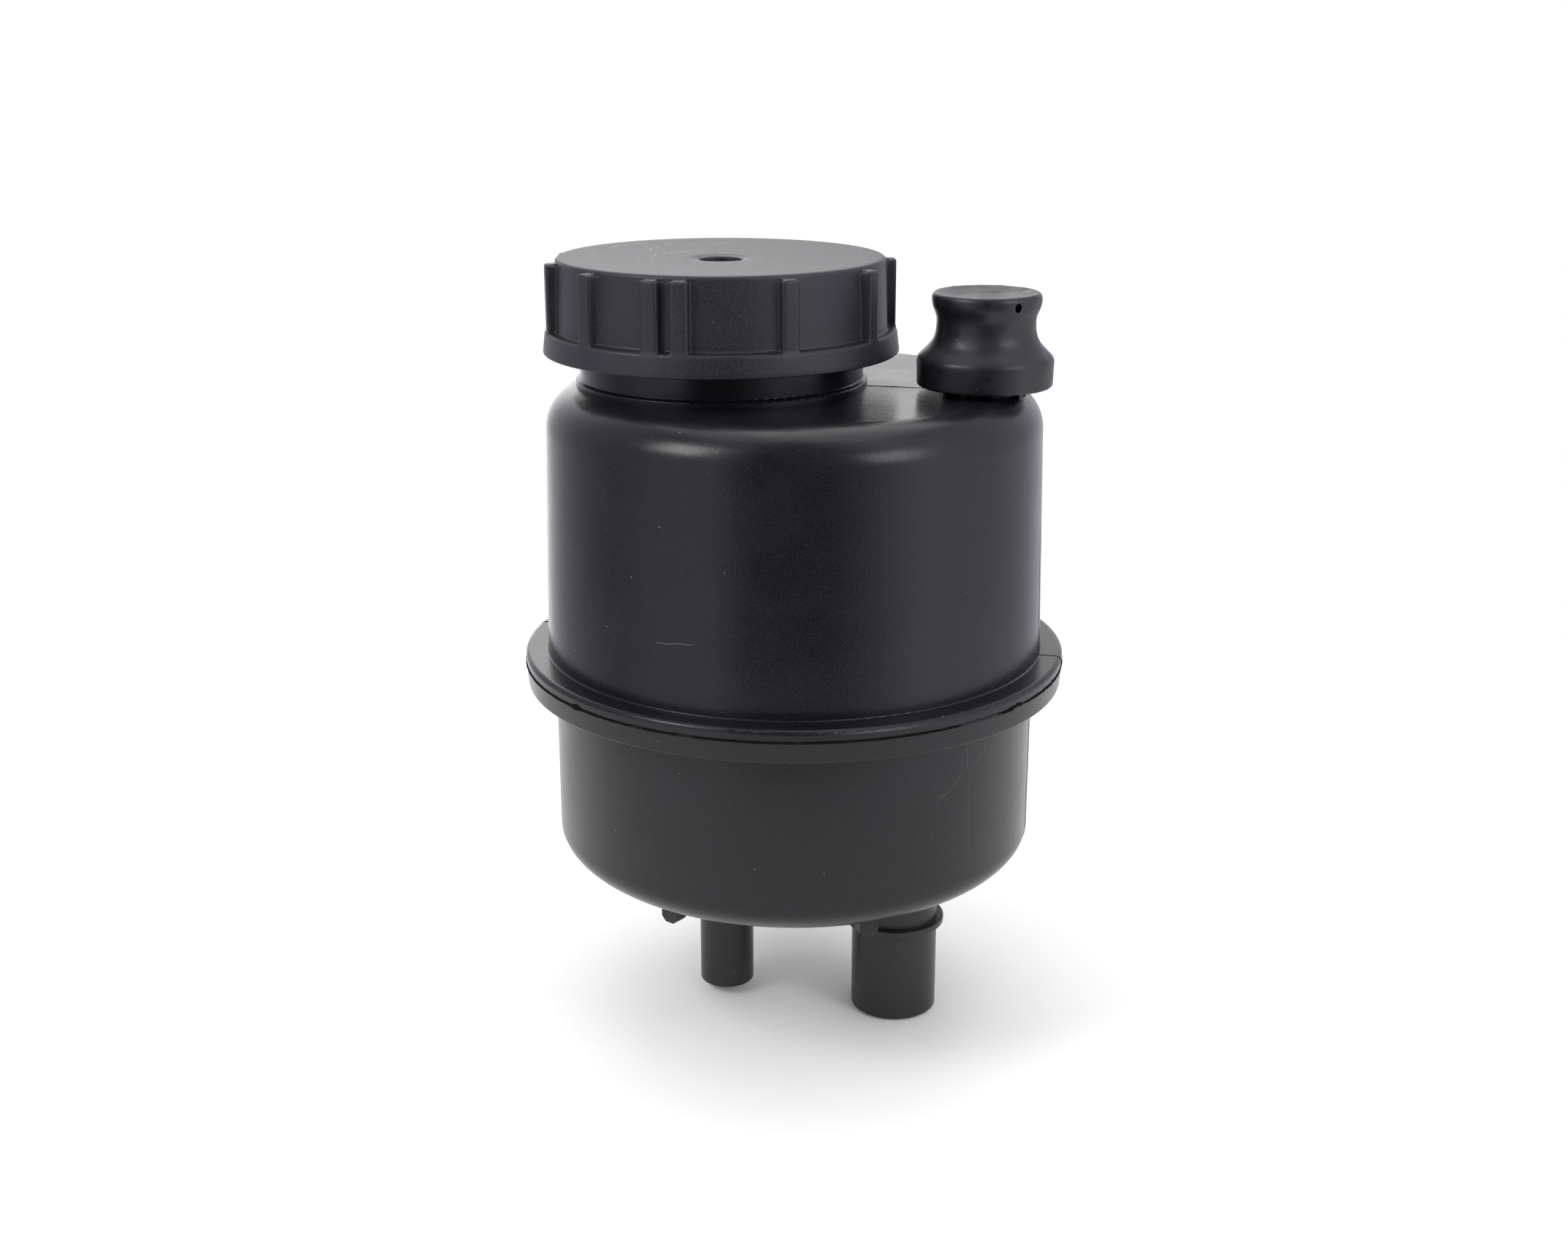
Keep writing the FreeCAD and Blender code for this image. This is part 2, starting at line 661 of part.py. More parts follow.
def zigzag(outer_r, inner_r, z):
    points = []
    for i in range(2 * PLEATS):
        angle = math.pi * i / PLEATS
        r = outer_r if i % 2 == 0 else inner_r
        points.append(vec(NECK_X + r * math.cos(angle), r * math.sin(angle), z))
    return Part.Wire(Part.makePolygon(points + points[:1]))


def filter_media():
    low = FILTER_BOTTOM_Z + PLATE_T
    high = FILTER_TOP_Z - PLATE_T
    outer = zigzag(PLEAT_OUT_R, PLEAT_IN_R + PLEAT_BAND, low)
    inner = zigzag(PLEAT_OUT_R - PLEAT_BAND, PLEAT_IN_R, low)
    band = Part.Face(outer).cut(Part.Face(inner))
    return band.extrude(vec(0, 0, high - low))


def perforated(outer_r, thickness, hole_r, rows, per_row):
    """Tube on the filter's axis with rows of round holes through its wall."""
    low = FILTER_BOTTOM_Z + PLATE_T
    high = FILTER_TOP_Z - PLATE_T
    tube = ring(outer_r, outer_r - thickness, low, high, NECK_X)
    holes = []
    for row in range(rows):
        z = low + (high - low) * (row + 0.5) / rows
        for i in range(per_row):
            hole = Part.makeCylinder(hole_r, 4, vec(NECK_X + outer_r - 2, 0, z), vec(1, 0, 0))
            holes.append(around(hole, 360 * (i + 0.5 * (row % 2)) / per_row, NECK_X))
    return tube.cut(holes)


def filter_core():
    return perforated(CORE_R, CORE_T, 2.2, 7, 6)


def filter_wrap():
    return perforated(WRAP_R, WRAP_T, 3.4, 7, 12)


def filter_seal():
    return ring(SEAL_R, PLATE_BORE_R, SEAT_Z, FILTER_BOTTOM_Z, NECK_X)


# --------------------------------------------------------------- the baffles
def baffle_plate():
    """Upright wall across the tank, with passages along its bottom edge."""
    slab = block(BAFFLE_X, BAFFLE_X + BAFFLE_T, -TANK_R, TANK_R, BAFFLE_BOTTOM_Z, BAFFLE_TOP_Z)
    room = lower_skin(WALL_T + BAFFLE_GAP, BAFFLE_TOP_Z + 1)
    plate = slab.common(room)
    passages = []
    for y in (-34, 0, 34):
        passages.append(block(BAFFLE_X - 1, BAFFLE_X + BAFFLE_T + 1, y - 7, y + 7,
                              BAFFLE_BOTTOM_Z - 1, BAFFLE_BOTTOM_Z + 12))
    return plate.cut(passages)


def suction_baffle():
    plate = rod(ANTI_VORTEX_R, ANTI_VORTEX_Z, ANTI_VORTEX_Z + 1.6, SUCTION_X)
    legs = []
    for i in range(3):
        leg = rod(LEG_R, BOTTOM_Z + WALL_T, ANTI_VORTEX_Z + LEG_INSET,
                  SUCTION_X + ANTI_VORTEX_R - LEG_R - LEG_INSET)
        legs.append(around(leg, 60 + 120 * i, SUCTION_X))
    return fused([plate] + legs)


NODES = {
    "upper_shell": upper_shell,
    "lower_shell": lower_shell,
    "return_hose_stub": return_hose_stub,
    "suction_hose_stub": suction_hose_stub,
    "weld_bead": weld_bead,
    "filler_cap": filler_cap,
    "cap_gasket": cap_gasket,
    "cap_slip_ring": cap_slip_ring,
    "dipstick_hub": dipstick_hub,
    "dipstick_blade": blade,
    "vent_boot": vent_boot,
    "vent_foam": vent_foam,
    "vent_splash_guard": vent_splash_guard,
    "strainer_basket": strainer_basket,
    "strainer_screen": strainer_screen,
    "hold_down_spring": hold_down_spring,
    "filter_top_plate": filter_top_plate,
    "filter_bottom_plate": filter_bottom_plate,
    "filter_media": filter_media,
    "filter_core": filter_core,
    "filter_wrap": filter_wrap,
    "filter_seal": filter_seal,
    "baffle_plate": baffle_plate,
    "suction_baffle": suction_baffle,
}

os.makedirs("parts", exist_ok=True)
for name, make in NODES.items():
    shape = make()
    solids = shape.Solids
    if len(solids) == 1:
        shape = solids[0]
    print(name, "solids", len(solids), "valid", shape.isValid(), "volume", round(shape.Volume, 1))
    shape.exportStep("parts/" + name + ".step")
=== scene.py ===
import math

import bmesh
import bpy
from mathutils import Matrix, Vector, noise


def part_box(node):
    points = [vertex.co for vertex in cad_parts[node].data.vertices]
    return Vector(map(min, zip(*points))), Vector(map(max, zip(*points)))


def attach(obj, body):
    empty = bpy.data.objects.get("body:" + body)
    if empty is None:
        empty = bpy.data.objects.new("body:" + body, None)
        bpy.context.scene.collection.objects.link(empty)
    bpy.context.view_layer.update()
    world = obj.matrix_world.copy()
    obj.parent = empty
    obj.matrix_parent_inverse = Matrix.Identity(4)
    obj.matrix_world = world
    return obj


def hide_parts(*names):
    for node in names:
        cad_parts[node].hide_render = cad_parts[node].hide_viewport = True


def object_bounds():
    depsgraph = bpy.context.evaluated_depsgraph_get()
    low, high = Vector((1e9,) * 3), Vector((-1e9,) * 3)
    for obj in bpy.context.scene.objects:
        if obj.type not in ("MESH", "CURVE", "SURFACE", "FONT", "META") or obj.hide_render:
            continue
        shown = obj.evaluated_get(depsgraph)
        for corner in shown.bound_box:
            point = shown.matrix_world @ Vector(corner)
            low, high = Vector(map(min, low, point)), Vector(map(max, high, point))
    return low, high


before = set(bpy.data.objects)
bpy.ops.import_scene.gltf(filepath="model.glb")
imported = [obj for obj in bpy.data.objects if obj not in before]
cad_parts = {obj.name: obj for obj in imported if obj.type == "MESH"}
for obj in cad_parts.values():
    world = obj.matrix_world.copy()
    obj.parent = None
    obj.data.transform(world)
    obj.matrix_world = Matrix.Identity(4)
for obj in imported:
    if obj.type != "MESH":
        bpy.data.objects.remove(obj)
cad_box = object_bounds()

# Hydraulic reservoir: a welded black plastic tank with a screw cap, a rubber
# vent cover and two hose stubs, in the frame of the CAD model. The camera,
# the lights and the floor are in metres, materials and shapes in millimetres.
MM = 0.001

# ---------------------------------------------------------------- the camera
CAMERA_PLACE = (0.1138, -0.5262, 0.1809)
CAMERA_TILT = 72.67           # degrees up from straight down
CAMERA_HEADING = 12.51        # degrees to the left of +Y
LENS = 45.106                 # mm, on a 36 mm wide sensor

# ------------------------------------------------------------------ lighting
FLOOR_GAP = 0.0004
FLOOR_R = 0.36
FLOOR_SIDES = 96
SOFTBOX_DISTANCE = 1.15
# Brightness of the studio that gloss mirrors, by compass direction in degrees
# from the camera, to its right: pale walls with a dark gap round the camera.
STUDIO = (
    (-180, 2.0), (-168, 2.3), (-152, 1.15), (-132, 0.72), (-85, 0.46), (-62, 0.98), (-34, 1.12),
    (-22, 0.05), (14, 0.05),
    (32, 0.62), (60, 1.72), (98, 1.0), (130, 0.74), (152, 0.95), (172, 1.15), (180, 1.8),
)
STUDIO_PEAK = 2.3
STUDIO_TINT = (0.98, 0.97, 1.09)
BACKDROP_TURN = 160           # degrees: the tint is a faint blue cast, left out past here
STUDIO_SOFT = 0.98            # even light for matt surfaces, the floor above all


def add_camera():
    data = bpy.data.cameras.new("camera")
    data.sensor_width = 36.0
    data.lens = LENS
    data.clip_start = 0.01
    camera = bpy.data.objects.new("camera", data)
    camera.location = CAMERA_PLACE
    camera.rotation_euler = (math.radians(CAMERA_TILT), 0, math.radians(CAMERA_HEADING))
    bpy.context.scene.collection.objects.link(camera)
    bpy.context.scene.camera = camera


def softbox(name, turn, height, size, power, distance=SOFTBOX_DISTANCE):
    """Soft area light, turn degrees round the object from the camera."""
    data = bpy.data.lights.new(name, "AREA")
    data.shape = "RECTANGLE"
    data.size, data.size_y = size
    data.energy = power
    light = bpy.data.objects.new(name, data)
    around = math.radians(CAMERA_HEADING - 90 + turn)
    up = math.radians(height)
    middle = Vector((0, 0, 0.02))
    away = Vector((math.cos(up) * math.cos(around), math.cos(up) * math.sin(around), math.sin(up)))
    light.location = middle + away * distance
    light.rotation_euler = away.to_track_quat("Z", "Y").to_euler()
    light.visible_camera = False
    bpy.context.scene.collection.objects.link(light)


def add_world():
    """White to look at. Gloss mirrors a room that is pale behind the object."""
    world = bpy.data.worlds.new("studio")
    bpy.context.scene.world = world
    world.use_nodes = True
    nodes, links = world.node_tree.nodes, world.node_tree.links
    nodes.clear()
    out = nodes.new("ShaderNodeOutputWorld")
    direction = nodes.new("ShaderNodeTexCoord")
    turned = nodes.new("ShaderNodeVectorRotate")
    turned.rotation_type = "Z_AXIS"
    turned.inputs["Angle"].default_value = math.radians(90 - CAMERA_HEADING)
    parts = nodes.new("ShaderNodeSeparateXYZ")
    compass = nodes.new("ShaderNodeMath")
    compass.operation = "ARCTAN2"
    share = nodes.new("ShaderNodeMapRange")
    share.inputs["From Min"].default_value = -math.pi
    share.inputs["From Max"].default_value = math.pi
    ramp = nodes.new("ShaderNodeValToRGB")
    stops = ramp.color_ramp.elements
    while len(stops) < len(STUDIO):
        stops.new(1.0)
    for stop, (turn, brightness) in zip(stops, STUDIO):
        stop.position = (turn + 180) / 360
        tints = STUDIO_TINT if abs(turn) < BACKDROP_TURN else (1, 1, 1)
        stop.color = [tint * brightness / STUDIO_PEAK for tint in tints] + [1]
    room = nodes.new("ShaderNodeBackground")
    room.inputs["Strength"].default_value = STUDIO_PEAK
    soft = nodes.new("ShaderNodeBackground")
    soft.inputs["Color"].default_value = (1, 1, 1, 1)
    soft.inputs["Strength"].default_value = STUDIO_SOFT
    seen = nodes.new("ShaderNodeBackground")
    seen.inputs["Color"].default_value = (1, 1, 1, 1)
    ray = nodes.new("ShaderNodeLightPath")
    lit = nodes.new("ShaderNodeMixShader")
    mix = nodes.new("ShaderNodeMixShader")
    links.new(direction.outputs["Generated"], turned.inputs["Vector"])
    links.new(turned.outputs["Vector"], parts.inputs["Vector"])
    links.new(parts.outputs["Y"], compass.inputs[0])
    links.new(parts.outputs["X"], compass.inputs[1])
    links.new(compass.outputs["Value"], share.inputs["Value"])
    links.new(share.outputs["Result"], ramp.inputs["Fac"])
    links.new(ramp.outputs["Color"], room.inputs["Color"])
    links.new(ray.outputs["Is Diffuse Ray"], lit.inputs["Fac"])
    links.new(room.outputs["Background"], lit.inputs[1])
    links.new(soft.outputs["Background"], lit.inputs[2])
    links.new(ray.outputs["Is Camera Ray"], mix.inputs["Fac"])
    links.new(lit.outputs["Shader"], mix.inputs[1])
    links.new(seen.outputs["Background"], mix.inputs[2])
    links.new(mix.outputs["Shader"], out.inputs["Surface"])


def add_floor():
    low = cad_box[0].z - FLOOR_GAP
    mesh = bpy.data.meshes.new("floor")
    turns = [2 * math.pi * i / FLOOR_SIDES for i in range(FLOOR_SIDES)]
    rim = [(FLOOR_R * math.cos(turn), FLOOR_R * math.sin(turn), low) for turn in turns]
    mesh.from_pydata(rim, [], [tuple(range(FLOOR_SIDES))])
    floor = bpy.data.objects.new("floor", mesh)
    bpy.context.scene.collection.objects.link(floor)
    paint = bpy.data.materials.new("floor_white")
    paint.use_nodes = True
    shader = paint.node_tree.nodes["Principled BSDF"]
    shader.inputs["Base Color"].default_value = (0.92, 0.92, 0.92, 1)
    shader.inputs["Roughness"].default_value = 0.9
    shader.inputs["Specular IOR Level"].default_value = 0.1
    mesh.materials.append(paint)


# ----------------------------------------------------------------- materials
class Paint:
    """A Principled material and the node helpers that give it its detail."""

    def __init__(self, name, roughness, **constants):
        self.material = bpy.data.materials.new(name)
        self.material.use_nodes = True
        self.nodes = self.material.node_tree.nodes
        self.links = self.material.node_tree.links
        self.shader = self.nodes["Principled BSDF"]
        self.shader.inputs["Roughness"].default_value = roughness
        for socket, value in constants.items():
            self.shader.inputs[socket.replace("_", " ")].default_value = value
        place = self.nodes.new("ShaderNodeTexCoord")
        self.place = place.outputs["Object"]

    def scaled(self, stretch=(1, 1, 1), turn=0.0):
        """Object coordinates in millimetres, stretched."""
        mapping = self.nodes.new("ShaderNodeMapping")
        mapping.inputs["Scale"].default_value = [s / MM for s in stretch]
        mapping.inputs["Rotation"].default_value = (0, 0, math.radians(turn))
        self.links.new(self.place, mapping.inputs["Vector"])
        return mapping.outputs["Vector"]

    def noise(self, size, detail=2.0, stretch=(1, 1, 1), turn=0.0, distortion=0.0):
        """Noise, 0 to 1, whose lumps are about size millimetres across."""
        node = self.nodes.new("ShaderNodeTexNoise")
        node.inputs["Scale"].default_value = 1.0 / size
        node.inputs["Detail"].default_value = detail
        node.inputs["Distortion"].default_value = distortion
        self.links.new(self.scaled(stretch, turn), node.inputs["Vector"])
        return node.outputs["Fac"]

    def span(self, value, low, high, to_low=0.0, to_high=1.0):
        """The value's stretch from low to high, mapped to a new one."""
        node = self.nodes.new("ShaderNodeMapRange")
        node.inputs["From Min"].default_value = low
        node.inputs["From Max"].default_value = high
        node.inputs["To Min"].default_value = to_low
        node.inputs["To Max"].default_value = to_high
        self.links.new(value, node.inputs["Value"])
        return node.outputs["Result"]

    def math(self, operation, a, b):
        node = self.nodes.new("ShaderNodeMath")
        node.operation = operation
        for socket, value in zip(node.inputs, (a, b)):
            if isinstance(value, (int, float)):
                socket.default_value = value
            else:
                self.links.new(value, socket)
        return node.outputs["Value"]

    def specks(self, spacing, radius, share, stretch=(1, 1, 1), turn=0.0):
        """Mask of small specks: 1 in a speck, over a share of the cells."""
        node = self.nodes.new("ShaderNodeTexVoronoi")
        node.inputs["Scale"].default_value = 1.0 / spacing
        self.links.new(self.scaled(stretch, turn), node.inputs["Vector"])
        near = self.span(node.outputs["Distance"], radius / spacing, 0.6 * radius / spacing)
        parts = self.nodes.new("ShaderNodeSeparateColor")
        self.links.new(node.outputs["Color"], parts.inputs["Color"])
        chosen = self.math("LESS_THAN", parts.outputs["Red"], share)
        return self.math("MULTIPLY", near, chosen)

    def band(self, value, low, high, soft):
        """1 where the value lies from low to high, with soft ends."""
        rise = self.span(value, low - soft, low)
        fall = self.span(value, high + soft, high)
        return self.math("MULTIPLY", rise, fall)

    def polar(self, centre_x=0.0):
        """Distance from an upright axis and height, in mm, and direction in degrees."""
        parts = self.nodes.new("ShaderNodeSeparateXYZ")
        self.links.new(self.place, parts.inputs["Vector"])
        x = self.math("SUBTRACT", parts.outputs["X"], centre_x * MM)
        y = parts.outputs["Y"]
        squares = self.math("ADD", self.math("MULTIPLY", x, x), self.math("MULTIPLY", y, y))
        reach = self.math("DIVIDE", self.math("SQRT", squares, 0.0), MM)
        height = self.math("DIVIDE", parts.outputs["Z"], MM)
        turn = self.math("MULTIPLY", self.math("ARCTAN2", y, x), 180 / math.pi)
        return reach, height, turn

    def stroke(self, across, along, start, end, width, wander=0.0):
        """Fine line from start to end, each (across, along), as a mask."""
        slope = (end[0] - start[0]) / (end[1] - start[1])
        off = self.math("SUBTRACT", across, self.math("MULTIPLY", along, slope))
        if wander:
            off = self.math("ADD", off, self.span(self.noise(5.0, 1.0), 0, 1, -wander, wander))
        middle = start[0] - slope * start[1]
        line = self.band(off, middle - width / 2, middle + width / 2, width / 2)
        low, high = sorted((start[1], end[1]))
        return self.math("MULTIPLY", line, self.band(along, low, high, 0.6))

    def mix(self, share, a, b):
        """Colour a where share is 0, b where it is 1."""
        node = self.nodes.new("ShaderNodeMix")
        node.data_type = "RGBA"
        self.links.new(share, node.inputs["Factor"])
        for socket, value in ((node.inputs["A"], a), (node.inputs["B"], b)):
            if isinstance(value, (tuple, list)):
                socket.default_value = (*value, 1)
            else:
                self.links.new(value, socket)
        return node.outputs["Result"]

    def colour(self, value):
        self.links.new(value, self.shader.inputs["Base Color"])

    def roughness(self, value):
        self.links.new(value, self.shader.inputs["Roughness"])

    def relief(self, *layers):
        """Bump from (height, depth in millimetres) layers."""
        normal = None
        for height, depth in layers:
            bump = self.nodes.new("ShaderNodeBump")
            bump.inputs["Strength"].default_value = 1.0
            bump.inputs["Distance"].default_value = depth * MM
            self.links.new(height, bump.inputs["Height"])
            if normal:
                self.links.new(normal, bump.inputs["Normal"])
            normal = bump.outputs["Normal"]
        self.links.new(normal, self.shader.inputs["Normal"])

    def facing_up(self, low, high):
        """0 on upright surfaces and 1 on level ones."""
        geometry = self.nodes.new("ShaderNodeNewGeometry")
        parts = self.nodes.new("ShaderNodeSeparateXYZ")
        self.links.new(geometry.outputs["Normal"], parts.inputs["Vector"])
        return self.span(parts.outputs["Z"], low, high)


STUB_FADE_Z = (-58, -62)      # mm: where the finish turns from the tank's to the stubs'


def shell_plastic():
    """Satin black moulded nylon, a little scuffed and dusty, duller on the hose stubs."""
    paint = Paint("shell_plastic", 0.3, Specular_IOR_Level=0.3)
    cloud = paint.noise(22.0, 4.0)
    grain = paint.noise(0.35, 3.0)
    base = paint.mix(paint.span(cloud, 0.35, 0.7), (0.0048, 0.0047, 0.0058), (0.0074, 0.0071, 0.0088))
    base = paint.mix(paint.span(grain, 0.45, 0.8), base, (0.0135, 0.013, 0.0155))
    upright = paint.noise(1.0, 3.0, stretch=(1.6, 1.6, 0.05))
    level = paint.noise(1.0, 3.0, stretch=(0.04, 1.4, 1.4), turn=-4)
    marks = paint.specks(9.0, 0.16, 0.35, stretch=(0.12, 1, 1), turn=18)
    dust = paint.specks(4.2, 0.15, 0.36)
    fine_dust = paint.specks(2.2, 0.10, 0.30)
    base = paint.mix(paint.math("MULTIPLY", marks, 0.35), base, (0.11, 0.11, 0.115))
    base = paint.mix(paint.math("MULTIPLY", fine_dust, 0.5), base, (0.22, 0.22, 0.22))
    base = paint.mix(dust, base, (0.42, 0.42, 0.41))
    for mark, strength in shell_marks(paint):
        base = paint.mix(paint.math("MULTIPLY", mark, strength), base, (0.30, 0.30, 0.31))
    _, height, _ = paint.polar()
    handled = paint.span(height, *STUB_FADE_Z)
    base = paint.mix(handled, base, paint.mix(dust, (0.0220, 0.0218, 0.0228), (0.42, 0.42, 0.41)))
    paint.colour(base)
    rough = paint.span(cloud, 0.3, 0.75, 0.21, 0.30)
    rough = paint.math("ADD", rough, paint.math("MULTIPLY", handled, 0.10))
    rough = paint.math("ADD", rough, paint.span(grain, 0.3, 0.7, -0.04, 0.05))
    rough = paint.math("ADD", rough, paint.math("MULTIPLY", dust, 0.3))
    paint.roughness(rough)
    top = paint.facing_up(0.85, 0.98)
    streaks = paint.math("MULTIPLY", level, top)
    paint.relief((grain, 0.02), (upright, 0.012), (streaks, 0.05), (dust, 0.04))
    return paint.material


def shell_marks(paint):
    """A scratch on the front of the upper half and hairlines on the lower half."""
    _, height, turn = paint.polar()
    return (
        (paint.stroke(height, turn, (27.2, -107.9), (28.0, -99.6), 0.12, 0.4), 0.26),
        (paint.stroke(turn, height, (-35.6, -4.0), (-34.6, -11.0), 0.10, 1.2), 0.22),
        (paint.stroke(turn, height, (-36.5, -12.5), (-43.6, -17.5), 0.12, 1.5), 0.22),
        (paint.stroke(turn, height, (-29.2, -6.0), (-31.5, -10.5), 0.10, 1.2), 0.14),
        (paint.stroke(turn, height, (-34.3, -11.0), (-34.0, -38.0), 0.18), 0.04),
    )


def cap_plastic():
    """Matt dark slate plastic with a fine spark-eroded grain."""
    paint = Paint("cap_plastic", 0.5, Specular_IOR_Level=0.42)
    cloud = paint.noise(16.0, 3.0)
    grain = paint.noise(0.42, 3.0)
    base = paint.mix(paint.span(cloud, 0.35, 0.7), (0.0088, 0.0078, 0.0118), (0.0124, 0.0110, 0.0160))
    base = paint.mix(paint.span(grain, 0.5, 0.85), base, (0.027, 0.025, 0.032))
    marks = paint.specks(8.0, 0.14, 0.5, stretch=(0.16, 1, 1), turn=-20)
    arcs = paint.specks(11.0, 0.13, 0.5, stretch=(0.5, 0.13, 1), turn=35)
    dust = paint.specks(4.0, 0.13, 0.3)
    base = paint.mix(paint.math("MULTIPLY", marks, 0.5), base, (0.16, 0.16, 0.165))
    base = paint.mix(paint.math("MULTIPLY", arcs, 0.4), base, (0.14, 0.14, 0.145))
    base = paint.mix(paint.math("MULTIPLY", dust, 0.8), base, (0.35, 0.35, 0.35))
    broken = paint.span(paint.noise(2.5, 3.0), 0.38, 0.62)
    # Real scuffs, plus the painted highlight on the bevel round the hole.
    for mark, strength in cap_marks(paint):
        share = paint.math("MULTIPLY", paint.math("MULTIPLY", mark, broken), strength)
        base = paint.mix(share, base, (0.40, 0.40, 0.41))
    paint.colour(base)
    paint.roughness(paint.span(grain, 0.3, 0.7, 0.40, 0.54))
    paint.relief((grain, 0.05), (paint.noise(1.4, 2.0), 0.03))
    return paint.material


def cap_marks(paint):
    """Curved scuffs on top of the cap, and the pale ring round its hole, a painted highlight on its bevel."""
    reach, height, turn = paint.polar(cap_axis())
    top = paint.span(height, CAP_TOP_Z - 1.2, CAP_TOP_Z - 0.9)
    marks = (
        (paint.stroke(reach, turn, (18.0, 118.0), (19.2, 179.0), 0.40, 0.8), 0.45),
        (paint.stroke(reach, turn, (38.2, 138.0), (38.8, 158.0), 0.40, 0.8), 0.50),
        (paint.stroke(reach, turn, (24.5, 158.0), (36.5, 127.0), 0.40, 1.6), 0.35),
        (paint.stroke(reach, turn, (33.0, 96.0), (31.5, 122.0), 0.35, 1.4), 0.35),
        # Painted highlight: a lighter ring on the bevel round the hole, where light catches it.
        (paint.band(reach, CAP_HOLE_R + 0.9, CAP_HOLE_RIM_R - 0.4, 0.3), 0.25),
    )
    return [(paint.math("MULTIPLY", mark, top), strength) for mark, strength in marks]


def boot_rubber():
    """Satin black rubber, blotchy, with fine flow lines."""
    paint = Paint("boot_rubber", 0.45, Specular_IOR_Level=0.45)
    cloud = paint.noise(9.0, 3.0)
    grain = paint.noise(0.25, 2.0)
    dust = paint.specks(3.5, 0.13, 0.3)
    base = paint.mix(paint.span(cloud, 0.35, 0.7), (0.0046, 0.0042, 0.0066), (0.0082, 0.0075, 0.0112))
    base = paint.mix(dust, base, (0.33, 0.33, 0.33))
    paint.colour(base)
    blotches = paint.noise(3.0, 3.0)
    paint.roughness(paint.span(blotches, 0.3, 0.7, 0.32, 0.50))
    paint.relief((grain, 0.012), (paint.noise(2.2, 2.0, stretch=(1, 1, 0.4)), 0.03))
    return paint.material


def weld_plastic_painted_shade():
    """Dull finish of the melted seam and of the flash on the mould lines; its near-black colour is painted
    shade for the seam's gap and the flash's shaded sides.
    """
    paint = Paint("weld_plastic_painted_shade", 0.8, Specular_IOR_Level=0.05)
    lumps = paint.noise(0.8, 3.0)
    stretches = paint.span(paint.noise(9.0, 2.0), 0.60, 0.74)
    # Painted shade: near-black colour that stands in for the shadow in the seam's gap and on the flash.
    dark = paint.mix(lumps, (0.002, 0.002, 0.002), (0.006, 0.006, 0.006))
    _, _, turn = paint.polar()
    clean = paint.band(turn, *SEAM_CLEAN, 1.5)
    # Along random stretches and the clean stretch, the painted shade gives way to a lighter grey.
    shown = paint.math("MAXIMUM", stretches, clean)
    paint.colour(paint.mix(shown, dark, (0.030, 0.030, 0.033)))
    paint.relief((lumps, 0.08))
    return paint.material


def plain_plastic(name, dark, light, roughness, grain_size=0.4):
    paint = Paint(name, roughness)
    cloud = paint.noise(12.0, 3.0)
    grain = paint.noise(grain_size, 2.0)
    paint.colour(paint.mix(paint.span(cloud, 0.35, 0.7), dark, light))
    paint.roughness(paint.span(grain, 0.3, 0.7, roughness - 0.06, roughness + 0.06))
    paint.relief((grain, 0.015))
    return paint.material


def metal(name, dark, light, roughness, brushed=(1, 1, 0.06)):
    paint = Paint(name, roughness, Metallic=1.0)
    cloud = paint.noise(10.0, 3.0)
    lines = paint.noise(0.5, 3.0, stretch=brushed)
    paint.colour(paint.mix(paint.span(cloud, 0.35, 0.7), dark, light))
    paint.roughness(paint.span(lines, 0.3, 0.7, roughness - 0.08, roughness + 0.08))
    paint.relief((lines, 0.01))
    return paint.material


def paper():
    """Resin-treated filter paper with visible fibres."""
    paint = Paint("filter_paper", 0.85)
    fibres = paint.noise(0.7, 5.0, stretch=(1, 1, 0.35), distortion=1.5)
    cloud = paint.noise(14.0, 3.0)
    base = paint.mix(paint.span(cloud, 0.35, 0.7), (0.56, 0.43, 0.22), (0.66, 0.53, 0.31))
    base = paint.mix(paint.span(fibres, 0.5, 0.75), base, (0.74, 0.63, 0.42))
    paint.colour(base)
    paint.relief((fibres, 0.05))
    return paint.material


def foam():
    """Open-cell breather foam, its pores darkened with painted shade."""
    paint = Paint("breather_foam", 0.95)
    cells = paint.nodes.new("ShaderNodeTexVoronoi")
    cells.inputs["Scale"].default_value = 1.0
    paint.links.new(paint.scaled(), cells.inputs["Vector"])
    pores = paint.span(cells.outputs["Distance"], 0.15, 0.5)
    # Painted shade: the pore hollows are coloured darker than the cell walls.
    paint.colour(paint.mix(pores, (0.02, 0.02, 0.022), (0.09, 0.09, 0.095)))
    paint.relief((pores, 0.3))
    return paint.material


def screen():
    """Fine woven steel wire."""
    paint = Paint("steel_screen", 0.35, Metallic=1.0)
    weave = paint.nodes.new("ShaderNodeTexBrick")
    weave.inputs["Scale"].default_value = 1.0
    weave.inputs["Brick Width"].default_value = 0.9
    weave.inputs["Row Height"].default_value = 0.45
    weave.inputs["Mortar Size"].default_value = 0.12
    paint.links.new(paint.scaled(), weave.inputs["Vector"])
    paint.colour(paint.mix(weave.outputs["Fac"], (0.42, 0.42, 0.43), (0.12, 0.12, 0.12)))
    paint.relief((weave.outputs["Fac"], 0.1))
    return paint.material


